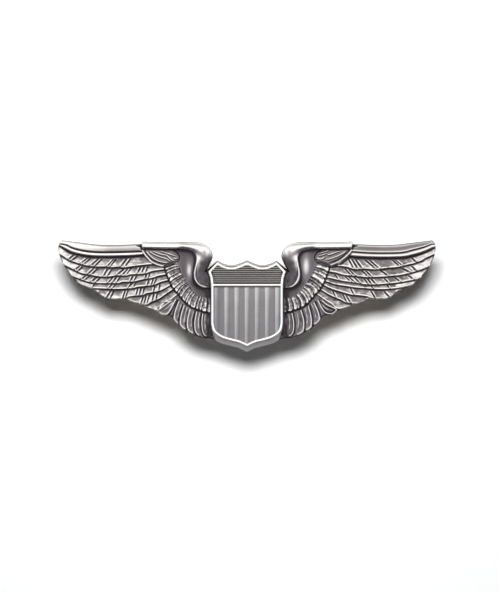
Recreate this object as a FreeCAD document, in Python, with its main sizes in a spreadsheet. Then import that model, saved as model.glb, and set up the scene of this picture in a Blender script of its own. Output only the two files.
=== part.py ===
import FreeCAD, Part

# A pair of metal pilot wings: one struck wing plate, a shield soldered on its front, two pointed
# posts soldered on its back, and a butterfly clutch that grips each post behind the cloth.
# Frame: +X to the viewer's right, +Z up as worn, -Y out of the wearer's chest. The plate's flat
# back lies in the plane y = 0, with the origin behind the middle of the shield. Millimetres.

import math
import os
import re

import Sketcher
from FreeCAD import Placement, Rotation, Vector

DIMENSIONS = {
    # struck plate and its relief, each measured forward from the plate's back
    "plate_depth": 1.2,
    "secondary_depth": 1.5,
    "feather_depth": 1.6,
    "rib_depth": 1.7,
    "scapular_depth": 1.8,
    "bar_depth": 1.9,
    "alula_depth": 2.0,
    "arm_depth": 2.6,
    # shield
    "shield_depth": 3.6,
    "panel_drop": 0.35,
    "stripe_drop": 0.5,
    "stripe_pitch": 1.02,
    "chief_rib_rise": 0.2,
    # posts
    "post_apart": 41.0,
    "post_rise": 4.6,
    "root_radius": 0.6,
    "root_end": 1.7,
    "shank_start": 2.25,
    "post_radius": 0.55,
    "post_long": 8.0,
    "point_radius": 0.08,
    "point_start": 6.4,
    "groove_radius": 0.38,
    "groove_start": 3.3,
    "groove_end": 3.9,
    "flange_radius": 2.0,
    "flange_thick": 0.4,
    "solder_reach": 0.7,
    "solder_rise": 0.32,
    # clutch cup, whose face bears on the back of the cloth
    "cup_face": 2.4,
    "cup_floor": 2.75,
    "cup_radius": 5.75,
    "cup_bore": 0.7,
    "cup_inside": 5.4,
    "lip_radius": 5.0,
    "lip_under": 3.15,
    "lip_top": 3.45,
    # clutch cover
    "cover_under": 2.8,
    "cover_flange": 5.32,
    "cover_sheet": 0.3,
    "dome_radius": 4.3,
    "dome_top": 5.0,
    "window_long": 5.6,
    "window_wide": 3.06,
    # finger wings
    "wing_sheet": 0.4,
    "foot_under": 3.95,
    "foot_long": 4.8,
    "foot_inner": 0.05,
    "foot_outer": 2.4,
    "hook_under": 3.45,
    "hook_outer": 0.33,
    "hook_start": 1.3,
    "hook_end": 2.0,
    "neck_long": 5.0,
    "neck_middle": 1.15,
    "bead_radius": 0.3,
    "pivot_depth": 4.85,
    "pivot_rise": 1.2,
    "tab_long": 8.4,
    # wire spring
    "wire_radius": 0.225,
    "leg_apart": 1.24,
    "leg_depth": 3.6,
    "bend_middle": 2.38,
    "leg_end": -1.9,
}

# Half outlines, in (x, z). Each inner list is one smooth stretch, and a list of two is straight.
SHIELD_FOOT = [
    [(0, 7.17), (1.85, 6.42), (3.25, 6.2), (4.7, 6.5), (6.0, 7.15)],
    [(6.0, 7.15), (8.4, 5.0)],
    [(8.4, 5.0), (7.75, 3.4), (7.66, 2.0)],
    [(7.66, 2.0), (7.66, -5.8)],
    [(7.66, -5.8), (7.2, -8.0), (5.6, -9.45), (3.4, -10.1), (1.7, -10.55), (0, -11.36)],
]
SHIELD_RIM = [
    [(0, 6.67), (1.85, 5.9), (3.25, 5.66), (4.7, 5.98), (5.96, 6.71)],
    [(5.96, 6.71), (7.75, 4.84)],
    [(7.75, 4.84), (7.25, 3.4), (7.16, 2.0)],
    [(7.16, 2.0), (7.16, -5.6)],
    [(7.16, -5.6), (6.75, -7.15), (5.2, -8.4), (3.2, -9.05), (1.6, -9.45), (0, -10.2)],
]
CHIEF = [
    [(0, 6.1), (1.85, 5.38), (3.25, 5.17), (4.75, 5.48), (5.9, 6.08)],
    [(5.9, 6.08), (7.2, 4.74)],
    [(7.2, 4.74), (6.78, 3.4), (6.71, 2.36)],
]
FIELD = [
    [(6.69, 1.9), (6.69, -5.5)],
    [(6.69, -5.5), (6.3, -6.9), (4.95, -7.95), (3.05, -8.55), (1.5, -8.95), (0, -9.65)],
]
STRIPE_END_GAP = 0.1
CHIEF_RIBS = [2.75, 3.17, 3.59, 4.01, 4.43, 4.85]
CHIEF_RIB_WIDTH = 0.2
CHIEF_RIB_END_GAP = 0.15
RIB_ROOT = 0.05

WING_OUTLINE = [
    [(0, 6.8), (1.85, 6.1), (3.25, 5.85), (4.65, 6.15), (5.75, 6.7)],
    [(5.75, 6.7), (8.3, 4.9)],
    [(8.3, 4.9), (7.5, 6.4), (6.95, 7.9), (7.3, 9.2), (8.4, 10.25), (9.8, 10.75), (12.6, 10.85),
     (16.6, 10.8), (21.25, 10.95)],
    [(21.25, 10.95), (21.45, 10.45)],
    [(21.45, 10.45), (26.5, 10.25), (29.8, 10.3), (33.0, 10.65), (37.4, 11.2)],
    [(37.4, 11.2), (38.0, 10.5), (38.1, 9.3), (37.75, 7.8), (36.4, 5.2), (33.8, 2.45), (30.9, 1.15)],
    [(30.9, 1.15), (28.9, -0.25), (27.5, -0.62), (24.4, -0.62)],
    [(24.4, -0.62), (23.6, -1.1), (22.5, -1.5), (21.2, -1.75)],
    [(21.2, -1.75), (20.5, -2.25), (18.3, -3.1)],
    [(18.3, -3.1), (17.0, -3.95), (15.9, -4.0), (15.2, -4.3)],
    [(15.2, -4.3), (14.7, -5.1), (13.5, -6.1)],
    [(13.5, -6.1), (13.0, -6.7), (11.5, -7.5)],
    [(11.5, -7.5), (10.7, -8.0), (9.6, -8.35)],
    [(9.6, -8.35), (8.6, -8.62), (7.5, -8.6)],
    [(7.5, -8.6), (5.4, -9.3), (3.3, -9.85), (1.6, -10.25), (0, -11.0)],
    [(0, -11.0), (0, 6.8)],
]

# The leading bar of the outer wing, and the lower edges of the vanes under it, from tip to root.
LEADING_BAR = [
    [(21.7, 10.25), (26.5, 10.1), (29.8, 10.15), (33.0, 10.5), (37.1, 11.0)],
    [(37.1, 11.0), (37.5, 10.3)],
    [(37.5, 10.3), (33.0, 9.05), (30.2, 8.85), (27.0, 8.9), (21.7, 9.05)],
    [(21.7, 9.05), (21.7, 10.25)],
]
VANE_EDGES = [
    [(37.4, 10.0), (33.0, 8.85), (30.2, 8.65), (27.0, 8.7), (21.4, 8.85)],
    [(37.4, 9.6), (34.6, 8.45), (30.5, 7.85), (25.5, 7.8), (20.9, 8.15)],
    [(37.3, 8.0), (35.0, 6.75), (31.0, 5.95), (27.0, 5.95), (19.9, 6.6)],
    [(36.6, 5.85), (32.8, 4.3), (28.8, 3.75), (23.9, 4.2), (17.6, 5.3)],
    [(35.2, 3.95), (32.5, 3.05), (29.0, 2.4), (24.9, 2.7), (17.1, 4.3)],
    [(33.0, 2.1), (28.8, 1.2), (24.4, 1.4), (19.2, 2.35), (16.4, 3.3)],
    [(30.3, 0.8), (27.5, -0.4), (23.6, -0.8), (19.4, 0.4), (15.9, 2.2)],
]
VANE_GAP = 0.2

ARM = [
    [(21.1, 10.75), (16.6, 10.6), (12.6, 10.65), (9.9, 10.55), (8.55, 10.1), (7.5, 9.1), (7.15, 7.9),
     (7.7, 6.4), (8.5, 5.0)],
    [(8.5, 5.0), (7.9, 3.2), (7.9, 1.6)],
    [(7.9, 1.6), (9.57, 1.92), (10.5, 2.96), (10.7, 4.1), (10.3, 5.67), (10.2, 7.7), (10.8, 8.75),
     (12.0, 9.3), (13.8, 9.55), (17.7, 9.75), (21.1, 9.75)],
    [(21.1, 9.75), (21.1, 10.75)],
]
ALULA = [
    [(21.1, 9.6), (17.7, 9.55), (14.6, 9.4)],
    [(14.6, 9.4), (14.1, 8.6), (13.7, 7.6), (14.3, 6.7), (15.6, 6.1), (16.5, 5.85)],
    [(16.5, 5.85), (18.0, 6.05), (19.3, 6.6), (20.4, 7.7), (21.1, 9.6)],
]
SCAPULARS = [
    [(16.5, 5.4), (16.0, 3.35), (14.6, 0.9), (12.5, -1.05), (9.95, -2.9), (7.9, -3.4)],
    [(7.9, -3.4), (7.9, -0.3)],
    [(7.9, -0.3), (9.3, -0.14), (11.5, 1.8), (13.05, 4.1), (13.8, 6.4)],
    [(13.8, 6.4), (15.2, 5.75), (16.5, 5.4)],
]
# Secondary feathers below the scapulars: root, tip and half width at the tip.
SECONDARIES = [
    ((15.3, 1.2), (19.0, -2.5), 0.45),
    ((14.6, -0.2), (16.9, -3.3), 0.6),
    ((13.5, -1.0), (14.8, -4.6), 0.45),
    ((12.4, -1.9), (13.4, -5.6), 0.45),
    ((11.2, -2.7), (12.0, -6.7), 0.45),
    ((10.0, -3.3), (10.7, -7.35), 0.45),
    ((8.8, -3.7), (9.4, -7.7), 0.45),
]
SECONDARY_ROOT = 0.3

# Finger wing's middle line in (y, z), and half of the metal cut from each side of its tab.
TAB_LINE = [(4.15, 1.15), (4.9, 1.15), (5.6, 1.45), (6.5, 2.45), (7.6, 3.7), (8.9, 4.6)]
TAB_SIDE = [
    [(2.5, 0.5), (2.5, 1.75)],
    [(2.5, 1.75), (3.0, 2.3), (3.9, 2.75), (4.2, 3.3)],
    [(4.2, 3.3), (3.95, 4.25), (3.2, 4.75), (2.4, 5.1)],
    [(2.4, 5.1), (5.0, 5.1)],
    [(5.0, 5.1), (5.0, 0.5)],
    [(5.0, 0.5), (2.5, 0.5)],
]
FLARE_RADIUS = 1.6
FLARE_TURN = 32.0

doc = FreeCAD.newDocument("pilot_wings_pin")
sheet = doc.addObject("Spreadsheet::Sheet", "dims")


def fill_sheet():
    """Each driving dimension in a row of its own: its name beside its value."""
    for row, (name, size) in enumerate(DIMENSIONS.items(), start=1):
        sheet.set(f"A{row}", name)
        sheet.set(f"B{row}", str(size))
        sheet.setAlias(f"B{row}", name)
    doc.recompute()


def bound(text):
    """An expression on the sheet, from text that uses its names, such as 'cup_face + 1'."""
    return re.sub(r"[a-z_]+", r"dims.\g<0>", str(text))


def size(text):
    return float(sheet.evalExpression(bound(text)))


def new_body(name):
    body = doc.addObject("PartDesign::Body", name)
    body.Label = name
    return body


def origin_plane(body, role):
    return next(f for f in body.Origin.OriginFeatures if f.Role == role)


def sketch_on(body, role, name, forward="0"):
    """A sketch on an origin plane. On XZ_Plane, forward moves it towards -Y, out of the badge."""
    sketch = body.newObject("Sketcher::SketchObject", name)
    sketch.AttachmentSupport = (origin_plane(body, role), [""])
    sketch.MapMode = "FlatFace"
    sketch.setExpression("AttachmentOffset.Base.z", bound(forward))
    return sketch


def add_corners(sketch, corners):
    """A closed outline of straight sides, with each corner held by two expressions."""
    first = sketch.GeometryCount
    count = len(corners)
    places = [Vector(size(x), size(y), 0) for x, y in corners]
    for i in range(count):
        sketch.addGeometry(Part.LineSegment(places[i], places[(i + 1) % count]))
    for i in range(count):
        sketch.addConstraint(
            Sketcher.Constraint("Coincident", first + i, 2, first + (i + 1) % count, 1)
        )
    for i, (x, y) in enumerate(corners):
        for kind, text in (("DistanceX", x), ("DistanceY", y)):
            where = Sketcher.Constraint(kind, -1, 1, first + i, 1, size(text))
            index = sketch.addConstraint(where)
            sketch.setExpression(f"Constraints[{index}]", bound(text))


def add_circle(sketch, across, up, radius):
    index = sketch.addGeometry(
        Part.Circle(Vector(size(across), size(up), 0), Vector(0, 0, 1), size(radius))
    )
    held = (("DistanceX", (-1, 1, index, 3), across), ("DistanceY", (-1, 1, index, 3), up))
    for kind, points, text in held:
        which = sketch.addConstraint(Sketcher.Constraint(kind, *points, size(text)))
        sketch.setExpression(f"Constraints[{which}]", bound(text))
    which = sketch.addConstraint(Sketcher.Constraint("Radius", index, size(radius)))
    sketch.setExpression(f"Constraints[{which}]", bound(radius))


def stretch_curve(points):
    """A straight side through two points, or a spline through more."""
    places = [Vector(x, y, 0) for x, y in points]
    if len(places) == 2:
        return Part.LineSegment(*places)
    curve = Part.BSplineCurve()
    curve.interpolate(places)
    return curve


def add_stretches(sketch, stretches):
    for points in stretches:
        sketch.addGeometry(stretch_curve(points))


def mirrored(stretches):
    """The same half outline on the other side of the middle, run the other way."""
    return [[(-x, z) for x, z in reversed(points)] for points in reversed(stretches)]


def whole(half):
    """A half outline and its mirror image, with straight sides across any gaps between them."""
    both = half + mirrored(half)
    closed = []
    for one, following in zip(both, both[1:] + both[:1]):
        closed.append(one)
        if one[-1] != following[0]:
            closed.append([one[-1], following[0]])
    return closed


def polygon(corners):
    return [list(side) for side in zip(corners, corners[1:] + corners[:1])]


def pad(body, sketch, length, symmetric=False, backwards=False):
    feature = body.newObject("PartDesign::Pad", sketch.Name + "_pad")
    feature.Profile = sketch
    feature.setExpression("Length", bound(length))
    feature.SideType = "Symmetric" if symmetric else "One side"
    feature.Reversed = backwards
    return feature


def pocket(body, sketch, depth=None):
    """Cuts towards +Y from a sketch on XZ_Plane: to a depth, or right through."""
    feature = body.newObject("PartDesign::Pocket", sketch.Name + "_pocket")
    feature.Profile = sketch
    if depth is None:
        feature.Type = "ThroughAll"
    else:
        feature.setExpression("Length", bound(depth))
    return feature


def turned(body, sketch):
    """A full turn of a section about the body's Y axis."""
    feature = body.newObject("PartDesign::Revolution", sketch.Name + "_turned")
    feature.Profile = sketch
    feature.ReferenceAxis = (sketch, ["V_Axis"])
    feature.Angle = 360
    return feature


def round_rings(body, rings, radius):
    """Rounds the circular edges of the turned body at each (radius, y) listed."""
    doc.recompute()
    base = body.Tip
    names = []
    for number, edge in enumerate(base.Shape.Edges, start=1):
        if not isinstance(edge.Curve, Part.Circle):
            continue
        place = (edge.Curve.Radius, edge.Curve.Center.y)
        if any(math.dist(place, (size(r), size(y))) < 1e-4 for r, y in rings):
            names.append(f"Edge{number}")
    feature = body.newObject("PartDesign::Fillet", f"{body.Name}_round{len(body.Group)}")
    feature.Base = (base, names)
    feature.Radius = radius


def relief(body, name, outlines, depth):
    """Raised shapes of one height on the front of the plate."""
    sketch = sketch_on(body, "XZ_Plane", name)
    for stretches in outlines:
        add_stretches(sketch, stretches)
    return pad(body, sketch, depth)


def vane(upper, lower):
    """The raised strip between two vane edges, with a thin gap under the upper one."""
    top = [(x, z - VANE_GAP) for x, z in upper]
    low = list(reversed(lower))
    return [top, [top[-1], low[0]], low, [low[-1], top[0]]]


def secondary(root, tip, half):
    """A long feather with straight sides and a rounded end."""
    along = Vector(tip[0] - root[0], tip[1] - root[1], 0).normalize()
    side = Vector(-along.y, along.x, 0)
    start = Vector(root[0], root[1], 0)
    end = Vector(tip[0], tip[1], 0)
    corners = [
        start + side * SECONDARY_ROOT,
        end + side * half,
        end + along * half,
        end - side * half,
        start - side * SECONDARY_ROOT,
    ]
    a, b, peak, c, d = [(v.x, v.y) for v in corners]
    return [[a, b], [b, peak, c], [c, d], [d, a]]


def make_wing_plate():
    body = new_body("wing_plate")
    half = [relief(body, "plate", [WING_OUTLINE], "plate_depth")]
    half.append(relief(body, "leading_bar", [LEADING_BAR], "bar_depth"))
    pairs = list(zip(VANE_EDGES, VANE_EDGES[1:]))
    half.append(relief(body, "thin_rib", [vane(*pairs[0])], "rib_depth"))
    half.append(relief(body, "primaries", [vane(*pair) for pair in pairs[1:]], "feather_depth"))
    half.append(relief(body, "secondaries", [secondary(*f) for f in SECONDARIES], "secondary_depth"))
    half.append(relief(body, "scapulars", [SCAPULARS], "scapular_depth"))
    half.append(relief(body, "alula", [ALULA], "alula_depth"))
    half.append(relief(body, "arm", [ARM], "arm_depth"))
    both = body.newObject("PartDesign::Mirrored", "both_wings")
    both.Originals = half
    both.MirrorPlane = (origin_plane(body, "YZ_Plane"), [""])
    body.Tip = both
    return body


def along_pieces(points, value, given, wanted):
    """Reads one coordinate of a hand-listed edge at a value of the other, by straight pieces."""
    for one, two in zip(points, points[1:]):
        low, high = sorted((one[given], two[given]))
        if low <= value <= high:
            share = (value - one[given]) / (two[given] - one[given])
            return one[wanted] + (two[wanted] - one[wanted]) * share
    raise ValueError(f"{value} is off the edge")


def field_bottom(across):
    """The striped field's lower edge at a distance from the middle."""
    return along_pieces(FIELD[1], across, 0, 1)


def chief_side(level):
    """Half the chief's width at a height."""
    return along_pieces(CHIEF[1][:1] + CHIEF[2], level, 1, 0)


def make_shield():
    """A drafted block with a rim, a ribbed chief and thirteen upright stripes."""
    body = new_body("shield")
    foot = sketch_on(body, "XZ_Plane", "foot", "plate_depth")
    add_stretches(foot, whole(SHIELD_FOOT))
    rim = sketch_on(body, "XZ_Plane", "rim", "shield_depth")
    add_stretches(rim, whole(SHIELD_RIM))
    block = body.newObject("PartDesign::AdditiveLoft", "block")
    block.Profile = foot
    block.Sections = [rim]
    block.Ruled = True

    panels = sketch_on(body, "XZ_Plane", "panels", "shield_depth")
    add_stretches(panels, whole(CHIEF))
    add_stretches(panels, whole(FIELD))
    pocket(body, panels, "panel_drop")

    stripes = sketch_on(body, "XZ_Plane", "stripes", "shield_depth")
    top = FIELD[0][0][1] - STRIPE_END_GAP
    for number in (-5, -3, -1, 1, 3, 5):
        near = (abs(number) - 0.5) * size("stripe_pitch")
        far = (abs(number) + 0.5) * size("stripe_pitch")
        side = math.copysign(1, number)
        add_stretches(stripes, polygon([
            (side * near, top),
            (side * far, top),
            (side * far, field_bottom(far) + STRIPE_END_GAP),
            (side * near, field_bottom(near) + STRIPE_END_GAP),
        ]))
    pocket(body, stripes, "stripe_drop")

    ribs = sketch_on(body, "XZ_Plane", "ribs", f"shield_depth - panel_drop - {RIB_ROOT}")
    for level in CHIEF_RIBS:
        half = chief_side(level) - CHIEF_RIB_END_GAP
        low = level - CHIEF_RIB_WIDTH / 2
        high = level + CHIEF_RIB_WIDTH / 2
        add_stretches(ribs, polygon([(-half, low), (half, low), (half, high), (-half, high)]))
    pad(body, ribs, f"chief_rib_rise + {RIB_ROOT}")
    return body


def make_post(name):
    """A pointed pin with a stout root, a grip groove and a round foot soldered to the plate."""
    body = new_body(name)
    section = sketch_on(body, "XY_Plane", name + "_section")
    add_corners(section, [
        (0, 0),
        ("flange_radius", 0),
        ("flange_radius", "flange_thick"),
        ("root_radius", "flange_thick"),
        ("root_radius", "root_end"),
        ("post_radius", "shank_start"),
        ("post_radius", "groove_start"),
        ("groove_radius", "groove_start"),
        ("groove_radius", "groove_end"),
        ("post_radius", "groove_end"),
        ("post_radius", "point_start"),
        ("point_radius", "post_long"),
        (0, "post_long"),
    ])
    turned(body, section)
    return body


def make_solder(name):
    body = new_body(name)
    section = sketch_on(body, "XY_Plane", name + "_section")
    add_corners(section, [
        ("flange_radius", 0),
        ("flange_radius + solder_reach", 0),
        ("flange_radius", "solder_rise"),
    ])
    turned(body, section)
    return body


def make_cup(name):
    """The round dish that bears on the cloth. Its lip is crimped over the cover's flange."""
    body = new_body(name)
    section = sketch_on(body, "XY_Plane", name + "_section")
    add_corners(section, [
        ("cup_bore + 0.25", "cup_face"),
        ("cup_radius", "cup_face"),
        ("cup_radius", "lip_top"),
        ("lip_radius", "lip_top"),
        ("lip_radius", "lip_under"),
        ("cup_inside", "lip_under"),
        ("cup_inside", "cup_floor"),
        ("cup_bore", "cup_floor"),
        ("cup_bore", "cup_face + 0.2"),
    ])
    turned(body, section)
    round_rings(body, [("cup_radius", "cup_face"), ("cup_radius", "lip_top")], 0.28)
    return body


def make_cover(name):
    """A flanged dome with a long window that the finger wings come through."""
    body = new_body(name)
    section = sketch_on(body, "XY_Plane", name + "_section")
    inside = "dome_radius - cover_sheet"
    add_corners(section, [
        (inside, "cover_under"),
        ("cover_flange", "cover_under"),
        ("cover_flange", "cover_under + cover_sheet"),
        ("dome_radius", "cover_under + cover_sheet"),
        ("dome_radius", "dome_top"),
        (0, "dome_top"),
        (0, "dome_top - cover_sheet"),
        (inside, "dome_top - cover_sheet"),
    ])
    turned(body, section)
    round_rings(body, [("dome_radius", "dome_top")], 0.6)
    round_rings(body, [(inside, "dome_top - cover_sheet")], 0.3)
    window = sketch_on(body, "XZ_Plane", name + "_window", "-lip_top")
    add_corners(window, [
        ("-window_long / 2", "-window_wide / 2"),
        ("window_long / 2", "-window_wide / 2"),
        ("window_long / 2", "window_wide / 2"),
        ("-window_long / 2", "window_wide / 2"),
    ])
    pocket(body, window)
    return body


def offset_line(points, distance):
    """The points of a line moved sideways by a distance, square to the line at each point."""
    moved = []
    for i, (x, y) in enumerate(points):
        before = points[max(i - 1, 0)]
        after = points[min(i + 1, len(points) - 1)]
        run = math.dist(before, after)
        moved.append((x - (after[1] - before[1]) / run * distance,
                      y + (after[0] - before[0]) / run * distance))
    return moved


def make_finger_wing(name):
    """Bent sheet: a foot under the cover, a neck in its window, a tab to pinch and two hooks."""
    body = new_body(name)
    half = size("wing_sheet") / 2
    profile = sketch_on(body, "YZ_Plane", name + "_profile")
    upper = offset_line(TAB_LINE, half)
    lower = list(reversed(offset_line(TAB_LINE, -half)))
    add_stretches(profile, [upper, [upper[-1], lower[0]], lower, [lower[-1], upper[0]]])
    pad(body, profile, "tab_long", symmetric=True)
    sides = sketch_on(body, "XZ_Plane", name + "_sides")
    add_stretches(sides, TAB_SIDE)
    add_stretches(sides, mirrored(TAB_SIDE))
    pocket(body, sides)

    bead = sketch_on(body, "YZ_Plane", name + "_bead")
    add_circle(bead, "pivot_depth", "pivot_rise", "bead_radius")
    pad(body, bead, "neck_long", symmetric=True)

    foot = sketch_on(body, "YZ_Plane", name + "_foot")
    add_corners(foot, [
        ("foot_under", "foot_inner"),
        ("foot_under + wing_sheet", "foot_inner"),
        ("foot_under + wing_sheet", "foot_outer"),
        ("foot_under", "foot_outer"),
    ])
    pad(body, foot, "foot_long", symmetric=True)

    hooks = sketch_on(body, "XZ_Plane", name + "_hooks", "-hook_under")
    for start, end in (("-hook_end", "-hook_start"), ("hook_start", "hook_end")):
        add_corners(hooks, [
            (start, "foot_inner"),
            (end, "foot_inner"),
            (end, "hook_outer"),
            (start, "hook_outer"),
        ])
    pad(body, hooks, "foot_under - hook_under + 0.1", backwards=True)

    notch = sketch_on(body, "XZ_Plane", name + "_notch")
    add_circle(notch, 0, 0, "cup_bore")
    pocket(body, notch)
    return body


def make_spring(name):
    """A hairpin of wire whose two legs close on the post's groove."""
    body = new_body(name)
    half_gap = size("leg_apart") / 2
    bend = size("bend_middle")
    end = size("leg_end")
    path = sketch_on(body, "XZ_Plane", name + "_path", "-leg_depth")
    up = Vector(0, 0, 1)
    quarter = Part.Circle(Vector(bend, 0, 0), up, half_gap)
    path.addGeometry(Part.ArcOfCircle(quarter, 0, math.pi / 2))
    path.addGeometry(Part.LineSegment(Vector(bend, half_gap, 0), Vector(end, half_gap, 0)))
    flare = Part.Circle(Vector(end, half_gap + FLARE_RADIUS, 0), up, FLARE_RADIUS)
    path.addGeometry(
        Part.ArcOfCircle(flare, math.radians(270 - FLARE_TURN), math.radians(270))
    )
    wire = sketch_on(body, "XY_Plane", name + "_wire")
    add_circle(wire, "bend_middle + leg_apart / 2", "leg_depth", "wire_radius")
    leg = body.newObject("PartDesign::AdditivePipe", name + "_leg")
    leg.Profile = wire
    leg.Spine = (path, ["Edge1", "Edge2", "Edge3"])
    both = body.newObject("PartDesign::Mirrored", name + "_both")
    both.Originals = [leg]
    both.MirrorPlane = (origin_plane(body, "XY_Plane"), [""])
    body.Tip = both
    return body


def put(body, across, turn=0):
    """Moves a body to a post's axis, as far from the middle as across says, and turns it."""
    body.Placement = Placement(Vector(0, 0, 0), Rotation(Vector(0, 1, 0), turn))
    body.setExpression("Placement.Base.x", bound(across))
    body.setExpression("Placement.Base.z", bound("post_rise"))


fill_sheet()
bodies = [make_wing_plate(), make_shield()]
for side, across in (("left", "-post_apart / 2"), ("right", "post_apart / 2")):
    fitted = [
        (make_post(side + "_post"), 0),
        (make_solder(side + "_post_solder"), 0),
        (make_cup(side + "_clutch_cup"), 0),
        (make_cover(side + "_clutch_cover"), 0),
        (make_spring(side + "_clutch_spring"), 0),
        (make_finger_wing(side + "_clutch_upper_wing"), 0),
        (make_finger_wing(side + "_clutch_lower_wing"), 180),
    ]
    for body, turn in fitted:
        put(body, across, turn)
        bodies.append(body)
doc.recompute()

for item in doc.Objects:
    if "Invalid" in item.State or "Error" in item.State:
        raise RuntimeError(f"{item.Label} did not recompute: {item.State}")
for body in bodies:
    shape = body.Shape
    if shape.isNull() or not shape.isValid() or len(shape.Solids) != 1:
        raise RuntimeError(f"{body.Label} is not one sound solid")

os.makedirs("parts", exist_ok=True)
for body in bodies:
    body.Shape.exportStep(f"parts/{body.Label}.step")
    print(body.Label, round(body.Shape.Volume, 3), "mm3")
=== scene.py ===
import math

import bmesh
import bpy
import numpy as np
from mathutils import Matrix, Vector
from mathutils.kdtree import KDTree


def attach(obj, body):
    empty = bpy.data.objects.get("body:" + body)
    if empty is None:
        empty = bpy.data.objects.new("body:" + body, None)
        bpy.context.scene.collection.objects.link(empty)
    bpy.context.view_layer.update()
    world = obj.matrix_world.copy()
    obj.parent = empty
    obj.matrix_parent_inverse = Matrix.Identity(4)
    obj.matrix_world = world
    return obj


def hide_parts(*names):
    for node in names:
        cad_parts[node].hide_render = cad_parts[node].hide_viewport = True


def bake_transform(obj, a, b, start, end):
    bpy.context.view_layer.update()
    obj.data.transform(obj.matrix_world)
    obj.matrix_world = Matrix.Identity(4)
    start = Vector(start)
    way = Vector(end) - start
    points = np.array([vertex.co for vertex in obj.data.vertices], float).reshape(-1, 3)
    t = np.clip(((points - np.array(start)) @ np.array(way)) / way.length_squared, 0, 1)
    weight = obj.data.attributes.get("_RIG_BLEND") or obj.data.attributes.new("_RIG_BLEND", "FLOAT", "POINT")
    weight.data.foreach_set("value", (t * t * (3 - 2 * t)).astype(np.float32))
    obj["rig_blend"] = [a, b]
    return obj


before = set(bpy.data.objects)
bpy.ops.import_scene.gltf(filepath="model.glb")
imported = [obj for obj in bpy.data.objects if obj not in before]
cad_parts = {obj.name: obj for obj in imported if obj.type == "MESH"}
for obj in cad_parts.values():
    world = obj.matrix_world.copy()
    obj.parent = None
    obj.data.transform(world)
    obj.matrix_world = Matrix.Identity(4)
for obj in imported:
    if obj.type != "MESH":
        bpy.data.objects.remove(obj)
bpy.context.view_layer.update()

# Pilot wings pin: a struck, blackened and rubbed wing plate with a soldered shield, and the pointed
# posts and butterfly clutches behind it. Shapes are worked out in millimetres, across from the
# middle and up, with height measured out of the flat back. The wearer's cloth would lie at y = 0.

MM = 0.001

# ---------------------------------------------------------------- the wings' relief

CELL_ACROSS = 0.07
CELL_UP = 0.063
HIDDEN_CELL = 0.35
HIDDEN_UP_TO = 7.0
PLATE_EDGE = 1.05
EDGE_ROUND = 0.3
SHIELD_SIDE = 7.7
BACK_POLISH = 0.7

OUTLINE = [
    [(0, 6.8), (1.85, 6.1), (3.25, 5.85), (4.65, 6.15), (5.75, 6.7)],
    [(5.75, 6.7), (8.3, 4.9)],
    [(8.3, 4.9), (7.5, 6.4), (6.95, 7.9), (7.3, 9.2), (8.4, 10.25), (9.8, 10.75), (12.6, 10.85),
     (16.6, 10.8), (21.25, 10.95)],
    [(21.25, 10.95), (21.45, 10.45)],
    [(21.45, 10.45), (26.5, 10.25), (29.8, 10.3), (33.0, 10.65), (37.4, 11.2)],
    [(37.4, 11.2), (38.0, 10.5), (38.1, 9.3), (37.75, 7.8), (36.4, 5.2), (33.8, 2.45), (30.9, 1.15)],
    [(30.9, 1.15), (28.9, -0.25), (27.5, -0.62), (24.4, -0.62)],
    [(24.4, -0.62), (23.6, -1.1), (22.5, -1.5), (21.2, -1.75)],
    [(21.2, -1.75), (20.5, -2.25), (18.3, -3.1)],
    [(18.3, -3.1), (17.0, -3.95), (15.9, -4.0), (15.2, -4.3)],
    [(15.2, -4.3), (14.7, -5.1), (13.5, -6.1)],
    [(13.5, -6.1), (13.0, -6.7), (11.5, -7.5)],
    [(11.5, -7.5), (10.7, -8.0), (9.6, -8.35)],
    [(9.6, -8.35), (8.6, -8.62), (7.5, -8.6)],
    [(7.5, -8.6), (5.4, -9.3), (3.3, -9.85), (1.6, -10.25), (0, -11.0)],
    [(0, -11.0), (0, 6.8)],
]
ARM = [
    [(21.35, 10.9), (16.6, 11.2), (12.6, 11.3), (9.9, 11.2), (7.9, 10.5), (6.7, 9.1), (6.4, 7.9),
     (6.9, 6.4), (8.1, 4.8)],
    [(8.1, 4.8), (7.6, 3.2), (7.6, 1.5)],
    [(7.6, 1.5), (8.8, 1.55), (9.7, 1.95), (10.45, 2.8), (10.75, 3.8), (10.7, 5.0), (10.45, 6.2),
     (10.3, 7.6), (10.75, 8.6), (11.7, 9.1), (13.4, 9.35), (16.0, 9.42), (21.2, 9.5)],
    [(21.2, 9.5), (21.35, 10.9)],
]
ALULA = [
    [(21.35, 9.75), (18.0, 9.65), (15.2, 9.3)],
    [(15.2, 9.3), (14.1, 8.5), (13.7, 7.6), (14.2, 6.8), (15.3, 6.2), (16.5, 5.8)],
    [(16.5, 5.8), (17.8, 5.95), (19.1, 6.5), (20.2, 7.45), (21.0, 8.5), (21.35, 9.75)],
]
SCAPULAR_INNER = [(14.0, 6.6), (13.5, 5.2), (12.9, 3.9), (12.3, 3.0), (11.7, 2.0), (10.7, 0.8),
                  (9.9, 0.05), (8.9, -0.25), (7.4, -0.4)]
SCAPULAR_OUTER = [(16.7, 5.75), (16.35, 4.5), (15.95, 3.5), (15.4, 2.2), (14.8, 1.2), (14.0, 0.3),
                  (13.0, -0.9), (12.0, -1.9), (11.0, -2.5), (10.0, -2.9), (9.0, -3.25), (7.4, -3.65)]

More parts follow.
